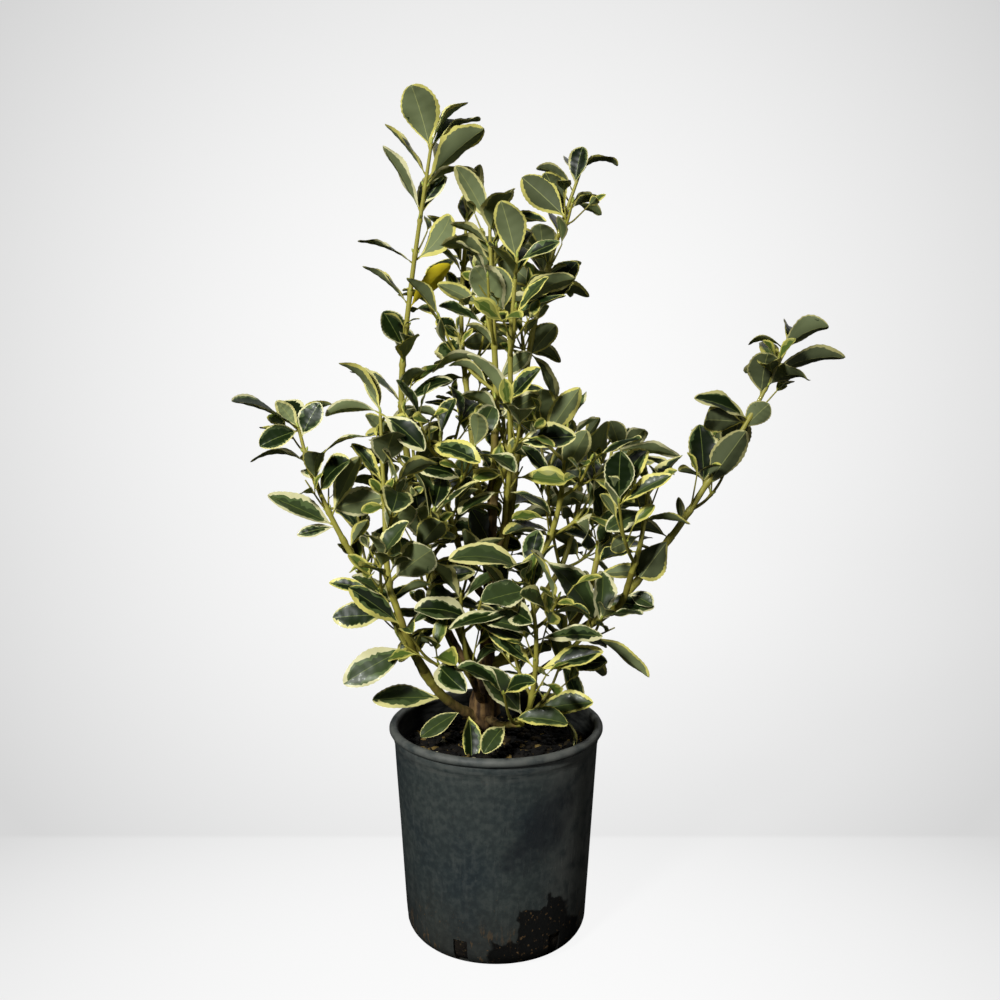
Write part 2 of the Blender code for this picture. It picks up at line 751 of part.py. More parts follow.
def make_limb(name, shoot, parent, bark, group, grow=0.0):
    """A limb as a tapering tube, or one that is thicker by what it grows."""
    radii = [radius + grow for radius in shoot.radii]
    if parent is None:
        radii = [flared(point, radius) for point, radius in zip(shoot.line, radii)]
    limb = tube(name, shoot.line, radii, LIMB_SIDES, group)
    limb.data.materials.append(bark)
    return limb


def cut_clear(limb, cutter):
    """The limb with its foot cut off where the limb that it leaves is thicker."""
    cut = limb.modifiers.new("foot", "BOOLEAN")
    cut.operation = "DIFFERENCE"
    cut.object = cutter
    carried_out(limb)
    bpy.data.objects.remove(cutter)
    return one_body(limb)


def cut_level(trunk):
    """The trunk's flat cut at the soil."""
    solid = bmesh.new()
    solid.from_mesh(trunk.data)
    everything = [*solid.verts, *solid.edges, *solid.faces]
    level = Vector((0, 0, SOIL_LEVEL + CLEAR))
    bmesh.ops.bisect_plane(solid, geom=everything, plane_co=level, plane_no=UP, clear_inner=True)
    bmesh.ops.holes_fill(solid, edges=solid.edges)
    bmesh.ops.recalc_face_normals(solid, faces=solid.faces)
    solid.to_mesh(trunk.data)
    solid.free()


def make_mass(name, mass, green, group):
    """One mass: the stem, with its twigs and leaves joined to it by one union."""
    grown = new_collection(name + "_grown")
    stem = tube(name, mass.stem.line, mass.stem.radii, STEM_SIDES, group)
    for index, twig in enumerate(mass.twigs):
        tube(f"{name}_twig_{index}", twig.line, twig.radii, TWIG_SIDES, grown)
    for index, leaf in enumerate(mass.leaves):
        mesh = bpy.data.meshes.new(f"{name}_leaf_{index}")
        solid = blade(leaf)
        solid.to_mesh(mesh)
        solid.free()
        grown.objects.link(bpy.data.objects.new(mesh.name, mesh))
    join = stem.modifiers.new("join", "BOOLEAN")
    join.operation = "UNION"
    join.operand_type = "COLLECTION"
    join.collection = grown
    join.solver = "MANIFOLD"  # the exact solver leaves open edges on some of the masses
    carried_out(stem)
    for thing in list(grown.objects):
        bpy.data.objects.remove(thing)
    bpy.data.collections.remove(grown)
    stem.data.materials.clear()
    stem.data.materials.append(green)
    return one_body(stem)


def main():
    clear_scene()
    group = new_collection(NAME)
    cutters = new_collection("cutters")
    bark = new_material("bark", (0.110, 0.082, 0.045), 0.85)
    green = new_material("variegated_leaf", (0.130, 0.170, 0.075), 0.45)
    pieces = [make_pot(group, cutters), make_soil(group)]
    limbs, masses = grown_plant()
    for name, (parent, _, _) in LIMBS.items():
        limb = make_limb(name, limbs[name], parent, bark, group)
        if parent is None:
            cut_level(limb)
        else:
            grandparent = LIMBS[parent][0]
            outside = bpy.context.scene.collection
            cutter = make_limb(name + "_cutter", limbs[parent], grandparent, bark, outside, FOOT_CLEAR)
            cut_clear(limb, cutter)
        pieces.append(limb)
    for name, mass in masses.items():
        pieces.append(make_mass(name, mass, green, group))
    plant = bpy.data.objects.new(NAME, None)
    group.objects.link(plant)
    for piece in pieces:
        piece.parent = plant


if __name__ == "__main__":
    main()
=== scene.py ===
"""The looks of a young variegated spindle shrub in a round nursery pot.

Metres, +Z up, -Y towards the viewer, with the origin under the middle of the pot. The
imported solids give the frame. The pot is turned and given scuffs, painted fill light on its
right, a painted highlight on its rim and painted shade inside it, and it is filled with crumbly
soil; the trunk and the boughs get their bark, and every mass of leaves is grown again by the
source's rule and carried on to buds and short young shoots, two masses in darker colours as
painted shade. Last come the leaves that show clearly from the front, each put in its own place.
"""

from collections import namedtuple
from functools import lru_cache
from math import acos, asin, atan2, cos, degrees, floor, pi, radians, sin
from random import Random

import bmesh
import bpy
import numpy as np
from bpy.props import FloatProperty, FloatVectorProperty, IntProperty, PointerProperty
from bpy.types import Operator, Panel, PropertyGroup
from mathutils import Matrix, Quaternion, Vector
from mathutils.bvhtree import BVHTree
from mathutils.noise import noise


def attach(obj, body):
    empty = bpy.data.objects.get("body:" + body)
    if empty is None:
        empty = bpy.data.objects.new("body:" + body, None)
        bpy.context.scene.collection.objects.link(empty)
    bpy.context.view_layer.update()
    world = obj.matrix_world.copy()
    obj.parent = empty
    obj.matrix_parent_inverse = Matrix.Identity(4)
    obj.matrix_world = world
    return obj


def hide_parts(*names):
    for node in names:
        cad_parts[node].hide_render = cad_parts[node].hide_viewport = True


bl_info = {
    "name": "Potted spindle shrub",
    "version": (1, 0, 0),
    "blender": (4, 5, 0),
    "location": "3D View > Sidebar > Shrub",
    "description": "Dresses the solids of a potted variegated spindle shrub",
    "category": "Object",
}

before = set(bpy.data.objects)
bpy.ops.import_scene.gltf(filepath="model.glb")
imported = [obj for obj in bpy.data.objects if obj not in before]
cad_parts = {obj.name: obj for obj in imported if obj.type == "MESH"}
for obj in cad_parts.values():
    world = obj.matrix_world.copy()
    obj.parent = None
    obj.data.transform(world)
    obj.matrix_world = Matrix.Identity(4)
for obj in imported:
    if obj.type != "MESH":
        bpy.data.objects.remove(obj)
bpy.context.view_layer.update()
BODY = "root"
UP = Vector((0, 0, 1))

# Pot, with the source's sizes
POT_HEIGHT = 0.2244
RIM_RADIUS = 0.110
RIM_ROLL = 0.0045
NECK_RADIUS = 0.105
FOOT_RADIUS = 0.0937
FOOT_CORNER = 0.020
NECK_HEIGHT = POT_HEIGHT - 2 * RIM_ROLL
WALL = 0.0022
SLOT_COUNT = 6
SLOT_HEIGHT = 0.026
SLOT_BASE = 0.004
SLOT_FIRST = radians(-112)
SLOT_STEPS = 3  # steps of the turning across one slot
SLOT_SPARE = 0.01
POT_STEPS = 120  # steps of the turning all round
CORNER_STEPS = (3, 5)  # steps of its corner, below where the slots begin and above it
ROLL_STEPS = 12

# Soil, with the source's sizes
SOIL_LEVEL = 0.198
SOIL_EDGE = 0.194
SOIL_FLAT = 0.040
SOIL_GAP = 0.0004
SOIL_RINGS = 30

# The lines of limbs, as in the source
CLEAR = 0.0003  # between a limb and what it carries
LIMB_SIDES = 6
LINE_FINE = 12  # steps between two given points, before the line is shared out evenly
LIMB_STEP = 0.030
TRUNK_STEP = 0.014
FLARE = 0.45  # how much wider the trunk is at the soil
FLARE_HEIGHT = 0.014

# Trunk and boughs, as in the source: what carries each, its points in millimetres, and its
# radius at its foot and its tip in tenths of one
LIMBS = {
    "trunk": (None, ((-19, 10, 180), (-11, 14, 252), (-8, 12, 328), (0, -4, 548)), (85, 34)),
    "bough_left": (
        "trunk", ((-16, 12, 222), (-43, -10, 244), (-63, -30, 272), (-86, -47, 320)), (48, 41),
    ),
    "bough_left_upright": (
        "bough_left", ((-70, -35, 286), (-83, -66, 326), (-98, -71, 372)), (37, 32),
    ),
    "bough_tall_left": (
        "trunk", ((-12, 14, 243), (-50, 22, 310), (-68, 29, 378), (-87, 34, 466)), (46, 37),
    ),
    "bough_low_left": ("trunk", ((-11, 13, 262), (-30, 6, 284), (-48, 0, 318)), (34, 30)),
    "bough_front": ("trunk", ((-14, 13, 226), (6, -20, 226), (21, -43, 236)), (40, 32)),
    "bough_front_left": ("trunk", ((-12, 13, 238), (-18, -10, 254), (-24, -30, 282)), (36, 30)),
    "bough_right": (
        "trunk", ((-9, 13, 280), (45, 12, 298), (117, 6, 340), (177, 0, 418)), (48, 36),
    ),
    "bough_right_upper": ("bough_right", ((74, 10, 314), (94, 22, 346), (104, 28, 386)), (36, 30)),
    "bough_right_lower": (
        "bough_right", ((106, 7, 332), (126, -18, 354), (134, -28, 386)), (34, 30),
    ),
    "bough_mid_right": ("trunk", ((-8, 12, 318), (28, 2, 360), (50, -12, 410)), (38, 32)),
    "bough_low_right": ("trunk", ((-12, 13, 248), (24, 2, 264), (56, -8, 288)), (36, 30)),
    "bough_mid_left": ("trunk", ((-7, 10, 346), (-28, -4, 380), (-40, -14, 420)), (34, 30)),
    "bough_inner": ("trunk", ((-5, 6, 390), (6, -18, 420), (10, -32, 460)), (32, 28)),
    "bough_centre_right": ("trunk", ((-2, 1, 460), (12, -12, 500), (14, -20, 550)), (30, 27)),
    "bough_back_right": ("trunk", ((-7, 11, 345), (12, 40, 417), (25, 56, 520)), (40, 34)),
    "bough_back_left": ("trunk", ((-6, 9, 372), (-16, 40, 440), (-26, 54, 520)), (38, 32)),
    "bough_behind": ("trunk", ((-13, 14, 234), (-4, 56, 290), (6, 84, 356)), (42, 34)),
    "bough_behind_left": ("trunk", ((-11, 14, 256), (-40, 50, 306), (-66, 76, 362)), (38, 32)),
    "bough_behind_right": ("trunk", ((-9, 13, 268), (30, 48, 312), (66, 76, 362)), (40, 32)),
}

# The rule of growth, as in the source
STEM_SIDES = 4
TWIG_SIDES = 3
STEM_TIP = 0.0016
STEM_START = 0.012  # the straight foot of a stem
STRAIGHT = 0.005  # the straight stretch at a line's ends
TWIG_FOOT = 0.0019
TWIG_TIP = 0.0012
TWIG_STEP = 0.030
TWIG_BARE = 0.008  # its foot, which may touch its own stem
TWIG_LENGTH = 0.085
TWIG_CLIMB = 0.9  # how much its outer half turns upwards
TWIG_AHEAD = 0.7
TWIG_ASIDE = 0.8
TWIG_LONG = (1.1, 0.6)  # at the foot of a stem, and how much of that goes towards its tip
TWIG_TOP = 0.8  # share of a stem above which no twig grows
TWIG_REACH = 0.75  # of the mass's reach
TWIG_LEAFLESS = 0.45  # share of it below its first leaves
NODE_GAP = 0.036  # between pairs of leaves
GAP_CHANGE = (1.15, 0.4)  # of that, at the foot, and how much goes towards the tip
TIP_SIZE = (1.08, 0.80)  # of the two pairs at a tip
TIP_BACK = (0.010, 0.002)  # how far from the tip they stand
LEAF_LENGTH = 0.059
LEAF_WIDTH = 0.52
LEAF_FOLD = radians(16)
LEAF_TRIES = 6
LEAN_LOSS = radians(28)  # how much nearer the stem leaves lean at its tip
LEAN_TIP = (radians(32), radians(15))
OVER_SIDE = 0.2  # how far the upper face turns from the side it grows on, and upwards
OVER_UP = 0.3
LEAF_SHOULDER = 0.75
LEAF_NARROW = 0.80
LEAF_RIDGE = 0.40
LEAF_SUNK = 0.4  # of the stem's radius, how deep its foot lies
TEST_THICK = 0.0026  # of the plain blade that is tried against the rest
TEST_BEGIN = 0.14  # share of it at the foot that may touch its own mass
TEST_MARGIN = 0.0004
DRAW_ANGLE = (-0.3, 0.3)
DRAW_TIP_ANGLE = (-0.25, 0.25)
DRAW_TURN = (-0.2, 0.2)
DRAW_SIDE = (-0.4, 0.4)
DRAW_GAP = (0.85, 1.15)
DRAW_SIZE = (0.85, 1.12)
DRAW_TIP_SIZE = (0.88, 1.12)
DRAW_TWIG = (0.7, 1.1)
DRAW_LEAN = (radians(-16), radians(16))
DRAW_BEND = (radians(20), radians(80))
DRAW_ROLL = (radians(-28), radians(28))

# Masses of leaves, as in the source: the limb that carries each, the points of its stem in
# millimetres, and what the rule needs in metres and degrees
Rule = namedtuple("Rule", "bare turn reach twiggy lean leaf seed")
MASSES = {
    "leaves_tall_left": (
        "bough_tall_left", ((-96, 31, 560), (-84, 22, 668), (-62, 8, 800)),
        Rule(0.080, 0, 0.090, 0.0, 48, 1.12, 18),
    ),
    "leaves_far_left": (
        "bough_left", ((-142, -72, 424), (-172, -70, 490), (-184, -66, 532)),
        Rule(0.012, 0, 0.100, 0.15, 66, 1.0, 51),
    ),
    "leaves_left": (
        "bough_left_upright", ((-105, -64, 450), (-109, -52, 545)),
        Rule(0.014, 0, 0.095, 0.2, 62, 1.0, 4),
    ),
    "leaves_front": (
        "bough_front", ((36, -66, 278), (38, -82, 340), (30, -90, 396)),
        Rule(0.008, 60, 0.100, 0.3, 78, 1.05, 30),
    ),
    "leaves_right_arm": (
        "bough_right", ((206, -4, 465), (245, -10, 530), (284, -6, 606)),
        Rule(0.030, 60, 0.085, 0.12, 52, 1.08, 34),
    ),
    "leaves_mid_right": (
        "bough_mid_right", ((64, -18, 460), (70, -16, 530)),
        Rule(0.010, 30, 0.095, 0.4, 78, 1.0, 21),
    ),
    "leaves_right": (
        "bough_right_upper", ((112, 32, 440), (118, 30, 500)),
        Rule(0.010, 30, 0.095, 0.4, 78, 1.0, 11),
    ),
    "leaves_right_low": (
        "bough_right_lower", ((142, -34, 420), (148, -34, 470)),
        Rule(0.010, 60, 0.090, 0.4, 78, 1.0, 60),
    ),
    "leaves_low_left": (
        "bough_low_left", ((-66, -8, 366), (-74, -12, 420)),
        Rule(0.008, 0, 0.095, 0.35, 78, 1.0, 19),
    ),
    "leaves_low_front": (
        "bough_front_left", ((-32, -46, 322), (-34, -54, 372)),
        Rule(0.008, 30, 0.095, 0.4, 78, 1.0, 24),
    ),
    "leaves_low_right": (
        "bough_low_right", ((86, -18, 316), (106, -22, 350)),
        Rule(0.008, 0, 0.095, 0.4, 78, 1.0, 14),
    ),
    "leaves_mid_left": (
        "bough_mid_left", ((-50, -24, 462), (-54, -26, 520)),
        Rule(0.008, 60, 0.095, 0.4, 78, 1.0, 25),
    ),
    "leaves_inner": (
        "bough_inner", ((14, -44, 500), (12, -48, 556)),
        Rule(0.008, 30, 0.090, 0.4, 78, 1.0, 1),
    ),
    "leaves_centre_right": (
        "bough_centre_right", ((14, -28, 610), (20, -34, 690)),
        Rule(0.008, 0, 0.085, 0.4, 62, 1.0, 23),
    ),
    "leaves_centre": (
        "trunk", ((-2, -8, 620), (-6, -6, 722)),
        Rule(0.014, 0, 0.085, 0.4, 62, 1.0, 32),
    ),
    "leaves_back_right": (
        "bough_back_right", ((36, 64, 610), (60, 74, 706), (86, 80, 782)),
        Rule(0.014, 0, 0.090, 0.3, 62, 1.0, 31),
    ),
    "leaves_back_left": (
        "bough_back_left", ((-36, 62, 630), (-30, 60, 735)),
        Rule(0.010, 30, 0.090, 0.4, 62, 1.0, 28),
    ),
    "leaves_behind": (
        "bough_behind", ((12, 104, 440), (8, 108, 530)),
        Rule(0.006, 30, 0.105, 0.2, 78, 1.0, 22),
    ),
    "leaves_behind_left": (
        "bough_behind_left", ((-84, 90, 430), (-90, 88, 505)),
        Rule(0.006, 60, 0.105, 0.4, 78, 1.0, 0),
    ),
    "leaves_behind_right": (
        "bough_behind_right", ((88, 94, 430), (94, 96, 505)),
        Rule(0.006, 30, 0.105, 0.4, 78, 1.0, 22),
    ),
}

# The finer growth, beyond the source's
SPUR_CHANCE = 0.9  # of a short young shoot in a leaf's axil
SPUR_TRIES = 4
SPUR_ABOVE = 0.001  # how far above the leaf it stands
SPUR_STEEP = 1.6  # how far it leans along its stem
SPUR_ANGLE = (-0.7, 0.7)
SPUR_LENGTH = (0.010, 0.034)
SPUR_RADIUS = (0.0010, 0.0007)
SPUR_BARE = 0.004
SPUR_PAIRS = (0.55, 0.97)  # where its pairs of leaves join it, the lowest first
SPUR_LEAN = (radians(44), radians(20))
SPUR_SIZES = (1.0, 0.7)
YOUNG_SIZE = (0.45, 0.85)  # of a young leaf against a full-grown one
YOUNG_BEND = (radians(15), radians(55))

# Bark, shoots and buds
BARK_STEP = 0.0025
BARK_SIDES = 20
SHOOT_STEP = 0.0035
SHOOT_SIDES = 10
SPUR_SIDES = 6
END_BULGE = 0.6  # how far the end of a tube stands out, of its radius
OVERLAP = 0.006  # how far a shoot starts inside the limb that carries it
OVERLAP_WIDTH = 0.8  # of its radius where it comes out
SWELLING = (0.38, 0.0024)  # how much a shoot swells where leaves join it, and over what length
FORK_SWELLING = (0.30, 0.009)  # the same for a limb, where another leaves it
RING_SWELLING = (0.13, 0.0024)
END_SWELLING = (0.12, 0.003)
FOOT_SWELLING = (0.35, 0.020)
RING_FIRST = (0.5, 0.9)  # where a limb's rings begin, and their gaps, of the gap between leaves
RING_GAPS = (0.55, 0.95)
RING_LAST = 0.005
FURROWS = (1.6, 38)  # how close they lie round a limb and along it
FURROW_DEPTH = 0.20  # of the radius
COARSE_FURROWS = 1.6  # how much closer than that, as the next is
FINE_FURROWS = 4.2
FINE_STRETCH = 0.5  # makes the fine ones longer
BARK_LUMPS = (0.16, 70)  # how high, of the radius, and how close
BARK_GRAIN = (0.05, 160)
BOUGH_FURROWS = 0.25  # of the trunk's
AXIL_BUD = (0.0048, 0.0013)  # length and radius
TIP_BUD = (0.0075, 0.0016)
BUD_SIZES = (0.75, 1.25)
BUD_ABOVE = 0.0015
BUD_OUT = 0.7  # of the shoot's radius
BUD_LEAN = 0.55
BUD_TAPER = (1.15, 0.55)
OLD_WOOD = (0.420, 0.560)  # heights from brown ridged bark to smooth green, on the trunk
BOUGH_WOOD = (0.300, 0.215)  # heights from smooth green to brown, on the outer boughs
INNER_WOOD = (0.470, 0.380)  # the same on the inner ones
INNER = ("low_left", "mid_left", "inner", "front_left", "behind", "centre_right", "low_right")
STEM_TONES = (0.1, 0.4, 0.7)  # from the green stem's colour to the olive one's

# Leaves
LEAF_ROWS = 30
YOUNG_ROWS = 14
EVEN_ROWS = 0.6  # what is left of 1 crowds the rows towards both ends
TOP_STRIPS = 9
BACK_STRIPS = 7
PETIOLE = 0.085  # share of the leaf that is its stalk
STALK_WIDTH = 0.09  # of the leaf's greatest width
STALK_THICK = 0.0007  # half of its thickness, as the next is
BLADE_THICK = 0.00021
AT_RIM = 0.999  # the half width past which both faces meet
LEAF_BROAD = (0.40, 0.53)  # of a leaf's width for its length
FULLEST = (1.05, 1.38)  # the power that sets where a leaf is widest
ROUNDNESS = (0.92, 0.34)  # of its outline at the foot, and how much of that the tip loses
TEETH = 0.022  # how far they stand out, of the half width
TOOTHED = (0.25, 0.97)
FOLDS = (0.4, 1.7)  # of the source's fold
FOLD_CURVE = 1.3
LEAF_TWIST = (radians(-20), radians(20))
LEAF_WAVE = 0.0019
WAVES = (1.0, 2.2)
WAVE_SLANT = 3
WAVE_WIDTH = 0.014  # the half width at which a leaf waves so much
VEINS = (6, 0.5)  # along a blade, and how they slant
VEIN_RELIEF = 0.00020
VEINED = (0.05, 0.9)  # they begin past this share of the blade and end at this of its half width
RIB_DEPTH = 0.0003
RIB_WIDTH = 0.0007
RIB_SHARE = (0.02, 0.09)
MARGIN_WIDTH = (0.0008, 0.0041)  # of the cream edge
MARGIN_WAVER = 0.75
BLEND_WIDTH = (0.0012, 0.0068)  # of the grey green inside it
BLEND_LEVEL = 0.6  # its mean share of that width, which wavers
BLEND_LEAST = 0.05
BLEND_SPARE = 0.01  # its least width, of the half width
WAVERS = {  # how close the waves of a line lie, and what keeps each line unlike the others
    "margin": (5, 0),
    "feather": (0.83, 20),
    "blend": (9, 30),
    "blend_feather": (0.9, 40),
}
FEATHER = 0.55  # how ragged the inner line of the edge is
EDGE_RANGE = (0.16, 0.95)  # where the edge may begin, of the half width
GREEN_LEAST = 0.13  # where the dark middle ends at the least
ALL_EDGE = 0.2  # a half whose edge would begin nearer the rib than this is cream all over
BACK_SHARE = 0.85  # of the cream edge that shows on a leaf's underside
BACK_MORE = 0.0006
BACK_RANGE = (0.25, 0.97)
SIDE_SHIFT = 7  # keeps the two halves of a leaf from wavering alike
YOUNG_EDGE = 1.3  # how much wider a young leaf's edge is for its size
LEAF_SHINE = 0.35
# The first tone is darker than the rest: painted shade, given only to the masses named next.
TONES = (0.52, 0.78, 1.0, 1.25)  # of the grey green and of the underside, dealt out leaf by leaf
# Painted shade: these masses are coloured darker all over, their cream edges too.
SHADED_MASSES = ("leaves_right_arm", "leaves_back_right")  # these get the first two tones of a colour
SHARP = radians(60)
YELLOW_LEAF = (-0.066, 0.021, 0.665)  # the leaf nearest to here is a bright yellow one

# Looks of the pot and the soil
CLOSE = 0.001  # near enough to be one place
WALL_HEIGHTS = (0.07, 0.12, 0.17, 0.20)
BAND_HEIGHT = 0.0175  # of the band under the rim, from the pot's top
BAND_PROUD = 0.0006
BAND_PROFILE = ((0.0055, 1.0), (0.001, 1.0), (0.0, 0.6), (-0.0008, 0.0))  # rise, share of that
POT_WAVER = (0.0022, 14)  # how much, and how close
RIM_SPARE = 0.00002  # keeps the rim inside the source's
SOIL_STEPS = 140
SOIL_SIDE = (0.14, 0.08, 0.03)
SOIL_LUMPS = (0.0022, 45)  # how high, and how close
SOIL_GRAINS = (0.0012, 150)
CRUMB_SIZES = (0.0009, 0.0013, 0.0018, 0.0026, 0.0040)
CRUMB_SHARES = (60, 22, 9, 8, 1)
CRUMBS = ((12, 10, 7), (26, 21, 13), (52, 42, 22), (120, 100, 52), (190, 184, 150))
CRUMB_FLATNESS = (0.25, 0.8)
CRUMB_ROUGHNESS = (0.35, 1.3)  # how much, and how close
CRUMB_SPARE = 2.4  # how many of its sizes a crumb keeps from the wall
CRUMB_LONG = (1, 2)  # of its size
CRUMB_TILT = 0.5
CRUMB_ABOVE = 0.45  # how high its middle lies above the soil, of half its height

# Stage
STAGE_WIDE = 4.0
STAGE_HIGH = 4.0
SWEEP = 1.5  # radius of the curves from the floor to the wall and from that to the top
SWEEP_STEPS = (16, 8)
STAGE_STEPS = 64  # steps of its turning
GLOW_FROM = (0.0, -1.1, 0.63)  # the wall glows most where a line from this place
GLOW_WAY = (0.0, 0.997, -0.075)  # in this direction meets it
GLOW_EDGE = 0.866  # and is dimmest past this cosine of the angle to that line
POOL_MIDDLE = (0.0, -0.2, 0.0)  # the floor glows most here
POOL_REACH = 0.77
HORIZON = (0.196, 0.212)  # where the floor's light gives way to the wall's
AIM = Vector((0, 0, 0.40))
SKY = 0.007
SENSOR = 36
CAMERA_ASIDE = 0.004
LAMPS = (  # name, width, power and place
    ("key", 0.35, 71, (-1.15, -2.0, 1.8)),
    ("fill", 1.4, 1.6, (1.7, -1.7, 0.5)),
    ("top", 1.2, 6, (0.4, 0.6, 2.5)),
    ("back", 1.4, 5, (0.7, 1.2, 1.3)),
    ("low", 0.9, 1.4, (1.2, -1.0, 0.10)),
)

